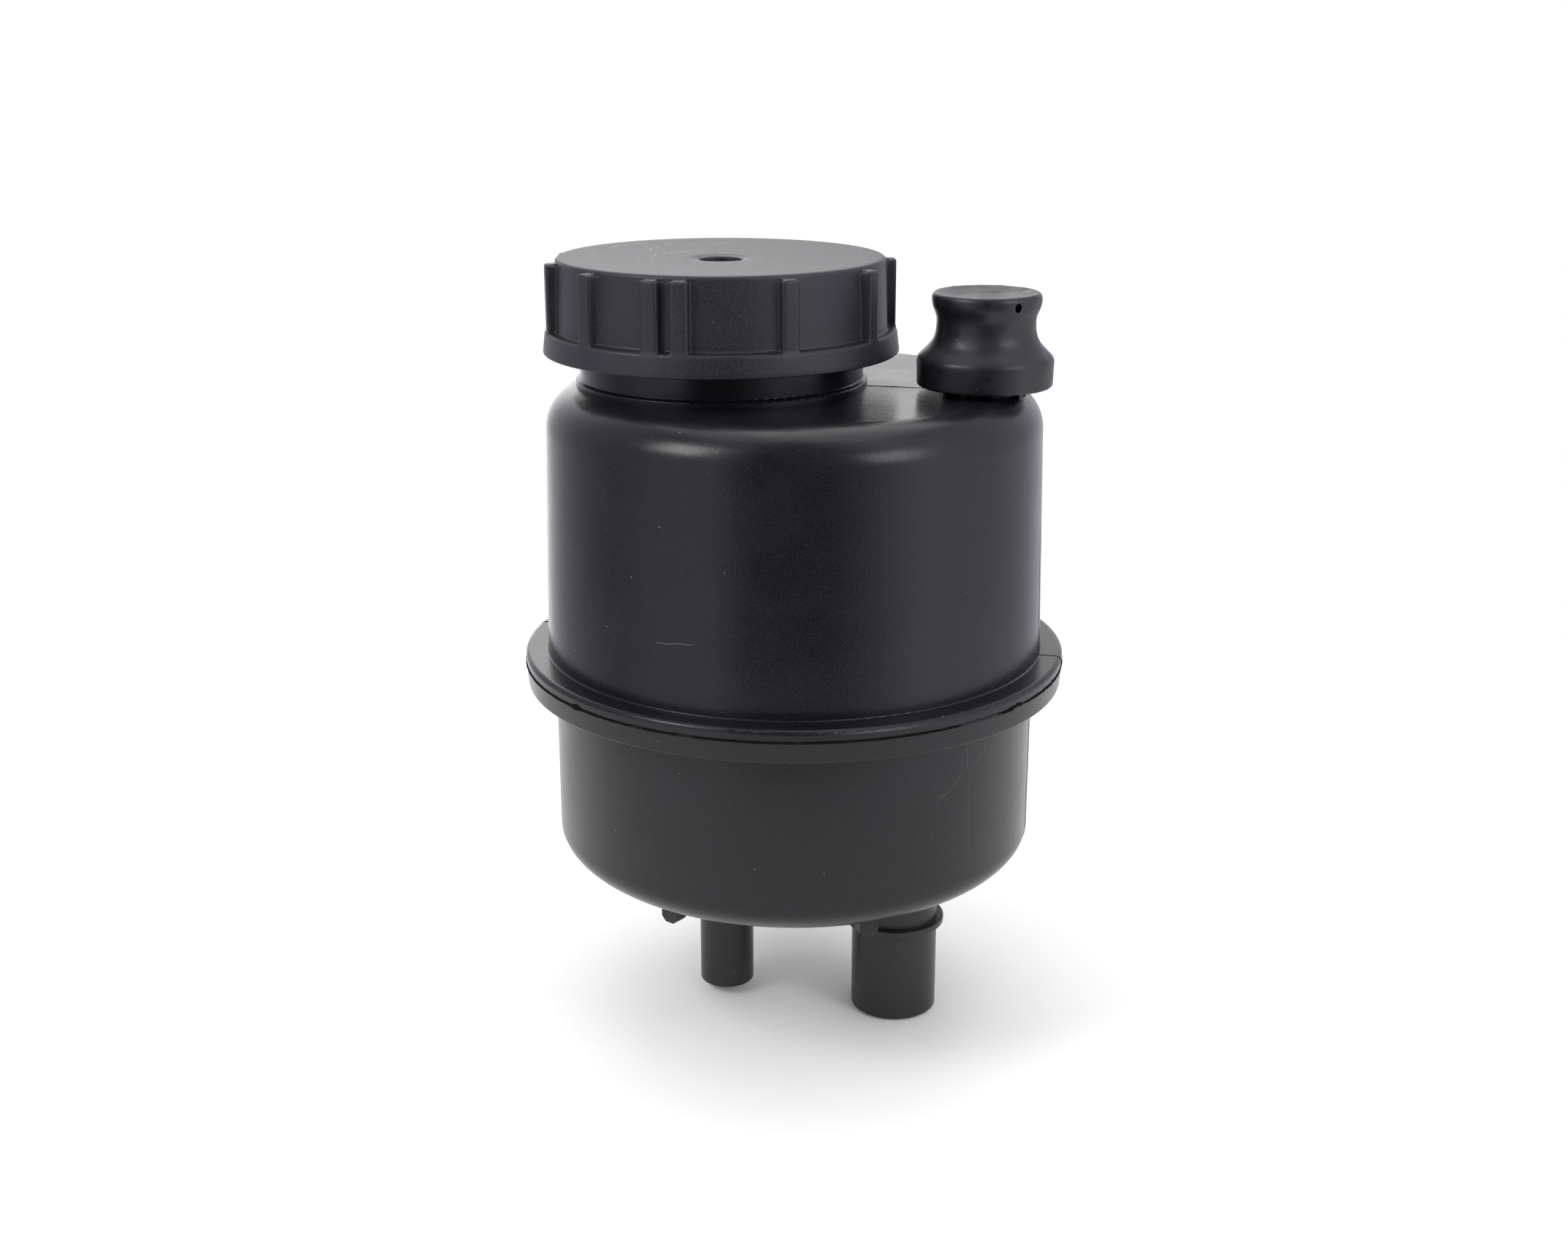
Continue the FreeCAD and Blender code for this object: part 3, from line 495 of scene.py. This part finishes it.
def make_paints():
    return {
        "shell_plastic": shell_plastic(),
        "cap_plastic": cap_plastic(),
        "hub_plastic": plain_plastic("hub_plastic", (0.012, 0.012, 0.013), (0.02, 0.02, 0.021), 0.45),
        "natural_plastic": plain_plastic("natural_plastic", (0.62, 0.60, 0.53), (0.70, 0.68, 0.61), 0.42),
        "boot_rubber": boot_rubber(),
        "seal_rubber": plain_plastic("seal_rubber", (0.012, 0.012, 0.012), (0.02, 0.02, 0.02), 0.6, 0.25),
        "breather_foam": foam(),
        "steel_screen": screen(),
        "spring_steel": metal("spring_steel", (0.42, 0.42, 0.43), (0.52, 0.52, 0.53), 0.28),
        "filter_steel": metal("filter_steel", (0.50, 0.51, 0.52), (0.62, 0.62, 0.62), 0.36),
        "filter_paper": paper(),
    }


def paint_nodes(paints):
    """Gives each CAD node its finish."""
    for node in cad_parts.values():
        for place in node.material_slots:
            place.material = paints[place.material.name.split(".")[0]]


# -------------------------------------------------------------------- shapes
def arc(r, z, radius, start, end, steps):
    """Points of an arc about (r, z), its directions in degrees."""
    points = []
    for i in range(steps + 1):
        turn = math.radians(start + (end - start) * i / steps)
        points.append((r + radius * math.cos(turn), z + radius * math.sin(turn)))
    return points


def between(a, b, count):
    """Points spaced evenly after a, up to and with b."""
    return [tuple(p + (q - p) * (i + 1) / count for p, q in zip(a, b)) for i in range(count)]


def curve(a, b, c, d, steps):
    """Points of a cubic Bezier curve."""
    points = []
    for i in range(steps + 1):
        t = i / steps
        weights = ((1 - t) ** 3, 3 * t * (1 - t) ** 2, 3 * t * t * (1 - t), t ** 3)
        points.append(tuple(sum(w * p[k] for w, p in zip(weights, (a, b, c, d))) for k in (0, 1)))
    return points


def hump(turn, middle, half_width):
    """1 at the middle direction, falling away smoothly; degrees."""
    off = (math.degrees(turn) - middle + 180) % 360 - 180
    return math.exp(-(off / half_width) ** 2)


def piece(name, rows, paint, closed=True):
    """Mesh of rings that each close on themselves, in millimetres."""
    count = len(rows[0])
    points = [tuple(v * MM for v in p) for row in rows for p in row]
    faces = []
    last = len(rows) if closed else len(rows) - 1
    for i in range(last):
        low, high = i * count, (i + 1) % len(rows) * count
        for j in range(count):
            k = (j + 1) % count
            faces.append((low + j, low + k, high + k, high + j))
    if not closed:
        faces.append(tuple(range(count))[::-1])
        faces.append(tuple(range(count * (len(rows) - 1), count * len(rows))))
    mesh = bpy.data.meshes.new(name)
    mesh.from_pydata(points, [], faces)
    skin = bmesh.new()
    skin.from_mesh(mesh)
    bmesh.ops.recalc_face_normals(skin, faces=skin.faces)
    skin.to_mesh(mesh)
    skin.free()
    mesh.shade_smooth()
    mesh.materials.append(paint)
    made = bpy.data.objects.new(name, mesh)
    bpy.context.scene.collection.objects.link(made)
    return made


def cap_axis():
    low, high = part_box("filler_cap")
    return (low.x + high.x) / 2 / MM


# The cap. Its ribs are part of one skin, drawn out from the round body.
CAP_BASE_Z = 92.0
CAP_RING_R = 49.15
CAP_RING_TOP_R = 48.6
CAP_RING_TOP_Z = 98.2
CAP_WALL_R = 45.8
CAP_TOP_R = 45.2
CAP_TOP_Z = 117.6
CAP_EDGE_R = 1.1
CAP_RING_EDGE_R = 1.2
CAP_WALL_FOOT_R = 0.8
CAP_BORE_R = 42.7
CAP_ROOF_Z = 115.1
CAP_HOLE_R = 5.8
CAP_HOLE_RIM_R = 7.8
CAP_DISH = 0.7
RIB_R = 48.2
RIB_HALF_W = 2.4
RIB_TOP_Z = 116.6
RIB_EDGE_R = 0.8
RIB_ROOT_R = 0.45
RIB_DIRECTIONS = [-123.8 + 35 * i for i in range(5)]
RIB_DIRECTIONS += [RIB_DIRECTIONS[4] + 220 / 7 * (i + 1) for i in range(6)] + [-98.4]
THREAD_Z = 97.0
THREAD_PITCH = 6.0
THREAD_TURNS = 1.5
THREAD_DEPTH = 2.8
THREAD_HALF_ROOT = 1.6
THREAD_FLANK = 0.8


def cap_columns():
    """(direction, sideways offset, rib share) of each column of the skin."""
    height = RIB_R - CAP_WALL_R
    half = []
    for i in range(5):
        turn = math.radians(90 * i / 4)
        half.append((RIB_HALF_W + 0.1 + RIB_ROOT_R * (1 - math.sin(turn)),
                     RIB_ROOT_R * (1 - math.cos(turn)) / height))
    for i in range(7):
        turn = math.radians(90 * i / 6)
        half.append((RIB_HALF_W - RIB_EDGE_R * (1 - math.cos(turn)),
                     1 - RIB_EDGE_R * (1 - math.sin(turn)) / height))
    half += [(RIB_HALF_W / 3, 1.0)]
    offsets = [(-u, s) for u, s in half] + [(0.0, 1.0)] + [(u, s) for u, s in reversed(half)]
    columns = []
    directions = sorted(d % 360 for d in RIB_DIRECTIONS)
    reach = math.degrees(math.asin(half[0][0] / CAP_WALL_R))
    for i, direction in enumerate(directions):
        columns += [(direction, u, s) for u, s in offsets]
        following = directions[(i + 1) % len(directions)] + (360 if i + 1 == len(directions) else 0)
        gap = following - direction - 2 * reach
        count = max(2, round(gap / 2.5))
        columns += [(direction + reach + gap * k / count, 0.0, 0.0) for k in range(1, count)]
    return columns


def cap_rows():
    """(body point, rib point, rib width) of each row, from the base up and in."""
    rows = []

    def same(points):
        rows.extend((p, p, 1.0) for p in points)

    same([(CAP_BORE_R + 0.4, CAP_BASE_Z), (46.0, CAP_BASE_Z)])
    same(arc(CAP_RING_R - 0.4, CAP_BASE_Z + 0.4, 0.4, -90, 0, 4))
    same(between((CAP_RING_R, CAP_BASE_Z + 0.4), (CAP_RING_TOP_R, CAP_RING_TOP_Z - CAP_RING_EDGE_R), 4))
    edge = CAP_RING_EDGE_R
    body = arc(CAP_RING_TOP_R - edge, CAP_RING_TOP_Z - edge, edge, 0, 90, 7)[1:]
    body += arc(CAP_WALL_R + CAP_WALL_FOOT_R, CAP_RING_TOP_Z + CAP_WALL_FOOT_R, CAP_WALL_FOOT_R, -90, -180, 6)
    on_rib = between((CAP_RING_TOP_R, CAP_RING_TOP_Z - edge), (RIB_R, CAP_RING_TOP_Z + 0.4), 7)
    on_rib += between(on_rib[-1], (RIB_R, CAP_RING_TOP_Z + 1.6), 7)
    rows.extend((a, b, 1.0) for a, b in zip(body, on_rib))
    end_z = RIB_TOP_Z - RIB_EDGE_R
    wall_top = CAP_TOP_Z - CAP_EDGE_R
    body = between(body[-1], (CAP_TOP_R + 0.05, end_z), 6)
    on_rib = between(on_rib[-1], (RIB_R, end_z), 6)
    rows.extend((a, b, 1.0) for a, b in zip(body, on_rib))
    body = between(body[-1], (CAP_TOP_R, wall_top - 0.05), 11)
    on_rib = arc(RIB_R - RIB_EDGE_R, end_z, RIB_EDGE_R, 0, 90, 6)[1:]
    on_rib += between(on_rib[-1], (CAP_TOP_R + 0.5, RIB_TOP_Z + 0.04), 3)
    on_rib += [(CAP_TOP_R + 0.2, RIB_TOP_Z + 0.08), (CAP_TOP_R + 0.02, RIB_TOP_Z + 0.14)]
    for i, (a, b) in enumerate(zip(body, on_rib)):
        turn = math.radians(min(90, 15 * (i + 1)))
        rows.append((a, b, 1 - 0.28 * (1 - math.cos(turn))))
    edge_arc = arc(CAP_TOP_R - CAP_EDGE_R, wall_top, CAP_EDGE_R, 0, 90, 7)
    narrow = rows[-1][2]
    rows.extend((p, (p[0], max(p[1], RIB_TOP_Z + 0.16)), narrow) for p in edge_arc[:2])
    rows.extend((p, p, narrow) for p in edge_arc[2:])
    for i in range(1, 13):
        share = i / 12
        r = edge_arc[-1][0] + (CAP_HOLE_RIM_R - edge_arc[-1][0]) * share
        rows.append(((r, CAP_TOP_Z - CAP_DISH * share * (2 - share)),) * 2 + (narrow,))
    rim_z = CAP_TOP_Z - CAP_DISH
    same([(CAP_HOLE_RIM_R - 0.3, rim_z - 0.12), (CAP_HOLE_R + 0.4, rim_z - 0.3)])
    same(arc(CAP_HOLE_R + 0.3, rim_z - 0.65, 0.3, 90, 180, 3))
    same([(CAP_HOLE_R, CAP_ROOF_Z + 0.1), (CAP_HOLE_R, CAP_ROOF_Z), (CAP_HOLE_R + 0.2, CAP_ROOF_Z)])
    same([(20.0, CAP_ROOF_Z), (CAP_BORE_R - 1.2, CAP_ROOF_Z)])
    same(arc(CAP_BORE_R - 0.8, CAP_ROOF_Z - 0.8, 0.8, 90, 0, 4))
    low = CAP_BASE_Z + 0.4
    same(between((CAP_BORE_R, CAP_ROOF_Z - 0.8), (CAP_BORE_R, low), 56))
    return rows


def thread_rise(direction, z):
    """How far the cap's thread stands in from the bore here."""
    turn = (direction - 180) / 360 % 1
    for t in (turn, turn + 1):
        if t > THREAD_TURNS:
            continue
        off = abs(z - THREAD_Z - THREAD_PITCH * t)
        lead = min(1.0, t / 0.05, (THREAD_TURNS - t) / 0.05)
        if off < THREAD_HALF_ROOT:
            return THREAD_DEPTH * lead * min(1.0, (THREAD_HALF_ROOT - off) / THREAD_FLANK)
    return 0.0


def make_cap(paint):
    axis = cap_axis()
    columns = cap_columns()
    rows = []
    for body, on_rib, width in cap_rows():
        row = []
        for direction, offset, share in columns:
            r = body[0] + (on_rib[0] - body[0]) * share
            z = body[1] + (on_rib[1] - body[1]) * share
            turn = math.radians(direction) + math.asin(offset * width / max(r, CAP_TOP_R))
            if body[0] == CAP_BORE_R:
                r -= thread_rise(math.degrees(turn) % 360, z)
            row.append((axis + r * math.cos(turn), r * math.sin(turn), z))
        rows.append(row)
    cap = piece("cap_body", rows, paint)
    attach(cap, "cap")
    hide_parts("filler_cap")


# The vent's rubber cover: one turned skin with a mould line up each side.
BOOT_BOTTOM_Z = 84.9
BOOT_BASE_R = 18.5
BOOT_FLARE_Z = 92.5
BOOT_WAIST_R = 13.3
BOOT_WAIST_Z = 102.1
BOOT_RIM_R = 14.75
BOOT_TOP_Z = 109.9
BOOT_DISH = 1.2
BOOT_BORE_R = 11.9
BOOT_ROOF_Z = 107.0
BOOT_COLUMNS = 360
BOOT_MOULD_LINE = -139        # degrees; the other one is opposite
BOOT_MOULD_HALF_W = 0.9       # degrees
BOOT_MOULD_HEIGHT = 0.12
BOOT_DENT = (1.5, 2.0, 4.0)   # place beside the axis, and size
BOOT_DENT_DEPTH = 0.45
BOOT_TOP_WAVE = 0.12
BOOT_SIDE_WAVE = 0.05
BOOT_SHARP_ANGLE = 38
PINHOLE_R = 1.05
PINHOLE_DIRECTION = -48.9
PINHOLE_Z = 107.4
PINHOLE_TILT = 28.0
PINHOLE_REACH = (-3, 5)       # how far the drill runs out of and into the rubber


def boot_profile():
    """The cover's skin, from the middle of its top, down its side and up its bore."""
    rim, waist, base = BOOT_RIM_R, BOOT_WAIST_R, BOOT_BASE_R
    top, flare = BOOT_TOP_Z, BOOT_FLARE_Z
    low_z = top - BOOT_DISH
    points = between((0.0, low_z), (4.0, low_z), 8)
    points += curve((4.0, low_z), (rim - 8, low_z), (rim - 6, low_z), (rim - 1.2, top), 14)[1:]
    points += curve((rim - 1.2, top), (rim - 0.4, top), (rim + 0.05, top - 0.8), (rim, top - 2), 8)[1:]
    points += curve((rim, top - 2), (rim - 0.1, BOOT_WAIST_Z + 3.4), (waist, BOOT_WAIST_Z + 2.4),
                    (waist, BOOT_WAIST_Z), 14)[1:]
    points += curve((waist, BOOT_WAIST_Z), (waist, flare + 4.6), (base - 3.4, flare + 3.4),
                    (base - 1.2, flare + 1.2), 16)[1:]
    points += curve((base - 1.2, flare + 1.2), (base - 0.5, flare + 0.5), (base, flare),
                    (base, flare - 1), 6)[1:]
    points += between(points[-1], (base - 0.2, BOOT_BOTTOM_Z + 0.8), 6)
    points += curve(points[-1], (base - 0.2, BOOT_BOTTOM_Z + 0.3), (base - 0.5, BOOT_BOTTOM_Z),
                    (base - 1.0, BOOT_BOTTOM_Z), 4)[1:]
    points += between(points[-1], (BOOT_BORE_R + 0.3, BOOT_BOTTOM_Z), 4)
    points += between((BOOT_BORE_R, BOOT_BOTTOM_Z + 0.3), (BOOT_BORE_R, BOOT_ROOF_Z - 1.0), 10)
    points += between((BOOT_BORE_R - 1.0, BOOT_ROOF_Z), (0.5, BOOT_ROOF_Z), 4)
    return points


def drilled(made, cutter):
    """Cuts the cutter out of the piece and throws the cutter away."""
    cut = made.modifiers.new("drill", "BOOLEAN")
    cut.operation = "DIFFERENCE"
    cut.solver = "EXACT"
    cut.object = cutter
    bpy.context.view_layer.update()
    view = bpy.context.evaluated_depsgraph_get()
    mesh = bpy.data.meshes.new_from_object(made.evaluated_get(view))
    made.modifiers.clear()
    made.data = mesh
    bpy.data.objects.remove(cutter)


def make_boot(paint):
    """The cover, with a wavy dented top, faint mould lines and its pinhole."""
    low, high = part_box("vent_boot")
    axis = (low.x + high.x) / 2 / MM
    rows = []
    for r, z in boot_profile():
        row = []
        for i in range(BOOT_COLUMNS):
            turn = 2 * math.pi * i / BOOT_COLUMNS
            out, up = r, z
            if r < BOOT_RIM_R - 1.0 and z > BOOT_ROOF_Z + 0.5:
                x, y = r * math.cos(turn), r * math.sin(turn)
                far = math.hypot(x - BOOT_DENT[0], y - BOOT_DENT[1]) / BOOT_DENT[2]
                wave = noise.noise(Vector((x / 3.5, y / 3.5, 4.0)))
                up += BOOT_TOP_WAVE * wave - BOOT_DENT_DEPTH * math.exp(-far * far)
            elif r > BOOT_BORE_R + 0.5:
                seam = hump(turn, BOOT_MOULD_LINE, BOOT_MOULD_HALF_W)
                seam += hump(turn, BOOT_MOULD_LINE + 180, BOOT_MOULD_HALF_W)
                wave = noise.noise(Vector((math.cos(turn) * 3, math.sin(turn) * 3, z / 5)))
                out += BOOT_MOULD_HEIGHT * seam + BOOT_SIDE_WAVE * wave
            row.append((axis + out * math.cos(turn), out * math.sin(turn), up))
        rows.append(row)
    boot = piece("boot_skin", rows, paint, closed=False)
    tilt, turn = math.radians(PINHOLE_TILT), math.radians(PINHOLE_DIRECTION)
    inward = Vector((-math.cos(tilt) * math.cos(turn), -math.cos(tilt) * math.sin(turn), -math.sin(tilt)))
    mouth = Vector((axis + BOOT_RIM_R * math.cos(turn), BOOT_RIM_R * math.sin(turn), PINHOLE_Z))
    across = inward.cross(Vector((0, 0, 1))).normalized()
    upward = across.cross(inward)
    circle = [across * x + upward * y for x, y in arc(0, 0, PINHOLE_R, 0, 345, 23)]
    ends = [[tuple(mouth + inward * reach + p) for p in circle] for reach in PINHOLE_REACH]
    drilled(boot, piece("pinhole", ends, paint, closed=False))
    boot.data.set_sharp_from_angle(angle=math.radians(BOOT_SHARP_ANGLE))
    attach(boot, "vent_cover")
    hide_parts("vent_boot")


# The weld seam: melted plastic squeezed out unevenly between the flanges.
SEAM_R = 76.5
SEAM_ROOT_R = 67.6
SEAM_LOW_Z = 5.7
SEAM_HIGH_Z = 6.1
SEAM_STEPS = 1440
# Directions, in degrees: where the squeezed-out plastic is raggedest, where
# there is a blob of it, and where the flanges closed with none to see.
SEAM_TORN = ((-27.0, 4.5, 4.0), (-12.0, 7.0, 2.2))
SEAM_BLOB = -126.5
SEAM_CLEAN = (-43.0, -34.0)


def ripple(turn, size, seed):
    """Smooth noise, -1 to 1, along the rim, with lumps of that size in mm."""
    scale = SEAM_R / size
    return noise.noise(Vector((math.cos(turn) * scale, math.sin(turn) * scale, seed)))


def make_seam(paint):
    rows = [[] for _ in range(8)]
    for i in range(SEAM_STEPS):
        turn = 2 * math.pi * i / SEAM_STEPS
        rough = 0.5 + 0.5 * math.sin(turn + 0.9) ** 2
        rough += sum(size * hump(turn, middle, width) for middle, width, size in SEAM_TORN)
        blob = 0.7 * hump(turn, SEAM_BLOB, 1.3)
        up = 0.12 + 0.22 * rough * max(-0.3, ripple(turn, 3.5, 1.0) + 0.5 * ripple(turn, 1.2, 2.0))
        down = 0.10 + 0.22 * rough * max(-0.3, ripple(turn, 2.8, 5.0) + 0.5 * ripple(turn, 0.9, 6.0))
        up += blob
        down += 0.5 * blob
        out = SEAM_R + 0.10 + 0.4 * blob + 0.12 * ripple(turn, 4.0, 9.0) + 0.06 * ripple(turn, 1.1, 11.0)
        section = (
            (SEAM_ROOT_R, SEAM_LOW_Z),
            (SEAM_R - 0.25, SEAM_LOW_Z),
            (SEAM_R - 0.05, SEAM_LOW_Z - down),
            (out, SEAM_LOW_Z - 0.6 * down),
            (out, SEAM_HIGH_Z + 0.6 * up),
            (SEAM_R - 0.05, SEAM_HIGH_Z + up),
            (SEAM_R - 0.25, SEAM_HIGH_Z),
            (SEAM_ROOT_R, SEAM_HIGH_Z),
        )
        for row, (r, z) in zip(rows, section):
            row.append((r * math.cos(turn), r * math.sin(turn), z))
    seam = piece("weld_seam", rows, paint)
    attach(seam, "tank")
    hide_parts("weld_bead")


def ridge(name, path, heights, half_width, paint, body, side=1.0):
    """Thin flash that follows a path of (x, z, out x, out z) in the parting plane."""
    rows = []
    for (x, z, out_x, out_z), height in zip(path, heights):
        section = (
            (-half_width, -0.06),
            (half_width, -0.06),
            (half_width, 0.02),
            (0.35 * half_width, height),
            (-0.35 * half_width, height),
            (-half_width, 0.02),
        )
        rows.append([(side * (x + out_x * up), across, z + out_z * up) for across, up in section])
    if side < 0:
        rows = [row[::-1] for row in rows]
    made = piece(name, rows, paint, closed=False)
    made.data.shade_flat()
    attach(made, body)


def along(points, step):
    """Points every step mm along a line of (r, z), with the outward normal."""
    path = []
    for a, b in zip(points, points[1:]):
        length = math.hypot(b[0] - a[0], b[1] - a[1])
        if length < 1e-6:
            continue
        out = ((a[1] - b[1]) / length, (b[0] - a[0]) / length)
        count = max(1, round(length / step))
        for i in range(count):
            share = i / count
            path.append((a[0] + (b[0] - a[0]) * share, a[1] + (b[1] - a[1]) * share, *out))
    path.append((*points[-1], *path[-1][2:]))
    return path


# The mould lines: thin flash that stands up each side of the tank, in its
# middle plane, and across its top.
FLANGE_TOP_Z = 9.2
FLANGE_EDGE_R = 1.3
FLANGE_ROOT_R = 0.4
UPPER_FOOT_R = 70.1
UPPER_HEAD_R = 68.4
SHOULDER_R = 11.0
TOP_Z = 83.3
TANK_R = 68.2
DISH_START_Z = -43.6
BOTTOM_Z = -57.2
DISH_FOOT_R = 42.7
FLASH_STEP = 0.8


def upper_profile():
    """The upper half's outline from its flange's edge to its flat top."""
    points = [(SEAM_R - 0.02, SEAM_HIGH_Z)]
    points += arc(SEAM_R - FLANGE_EDGE_R, FLANGE_TOP_Z - FLANGE_EDGE_R, FLANGE_EDGE_R, 0, 90, 8)
    points += arc(UPPER_FOOT_R + FLANGE_ROOT_R, FLANGE_TOP_Z + FLANGE_ROOT_R, FLANGE_ROOT_R, -90, -180, 3)
    points += arc(UPPER_HEAD_R - SHOULDER_R + 0.15, TOP_Z - SHOULDER_R, SHOULDER_R, 1, 90, 16)
    return points


def lower_profile():
    """The lower half's outline from the flat middle of its floor to its flange."""
    dish = curve((DISH_FOOT_R, BOTTOM_Z), (52.9, BOTTOM_Z), (TANK_R, -51.8), (TANK_R, DISH_START_Z), 24)
    flange = [(TANK_R, 0.0), (SEAM_R - 1.0, 0.0)] + arc(SEAM_R - 1.0, 0.5, 0.5, -90, 0, 4)
    return dish + flange + [(SEAM_R - 0.12, SEAM_LOW_Z)]


def flash_heights(path, seed, mean, swing, fins=()):
    """Uneven flash, with fins of (lowest z, highest z, height)."""
    heights = []
    for x, z, _, _ in path:
        lump = noise.noise(Vector((x / 6, z / 6, seed))) + 0.5 * noise.noise(Vector((x / 1.5, z / 1.5, seed)))
        height = max(0.04, mean + swing * lump)
        for low, high, tall in fins:
            if low < z < high:
                height += tall * math.sin(math.pi * (z - low) / (high - low)) ** 0.6
        heights.append(height)
    return heights


# Fins where the flash is tallest: lowest z, highest z, height.
UPPER_FINS = ((6.2, 8.6, 0.7), (21.2, 22.4, 0.4), (38.0, 40.0, 0.45), (72.5, 76.0, 0.9))
LOWER_FINS = ((0.2, 5.6, 0.7), (-20.0, -2.0, 0.3), (-40.8, -29.8, 1.1), (-53.5, -45.5, 1.6))


def make_mould_lines(paint):
    upper = along(upper_profile(), FLASH_STEP)
    lower = along(lower_profile(), FLASH_STEP)
    for side, hand, upper_fins, lower_fins in (
        (1.0, "right", UPPER_FINS, LOWER_FINS),
        (-1.0, "left", (), ()),
    ):
        stop = [p for p in upper if not (p[1] > TOP_Z - 6 and p[0] < 62.5)]
        ridge("mould_line_upper_" + hand, stop, flash_heights(stop, side, 0.14, 0.16, upper_fins), 0.16,
              paint, "tank", side)
        ridge("mould_line_lower_" + hand, lower, flash_heights(lower, 3 * side, 0.30, 0.25, lower_fins),
              0.20, paint, "tank", side)
    flat = along([(20.0, TOP_Z), (43.2, TOP_Z)], FLASH_STEP)
    flat = [(x, z, 0.0, 1.0) for x, z, _, _ in flat]
    ridge("mould_line_top", flat, flash_heights(flat, 5.0, 0.10, 0.08), 0.16, paint, "tank")


add_camera()
add_world()
add_floor()
softbox("key_left", -58, 40, (0.38, 0.42), 4.7)
softbox("key_right", 46, 30, (0.42, 0.42), 2.5)
softbox("overhead", 180, 72, (1.4, 1.4), 7, 1.5)
paints = make_paints()
paint_nodes(paints)
make_cap(paints["cap_plastic"])
make_boot(paints["boot_rubber"])
# One finish for the seam and the mould-line flash: dull plastic with painted shade.
weld = weld_plastic_painted_shade()
make_seam(weld)
make_mould_lines(weld)
bpy.context.scene.view_settings.view_transform = "Standard"
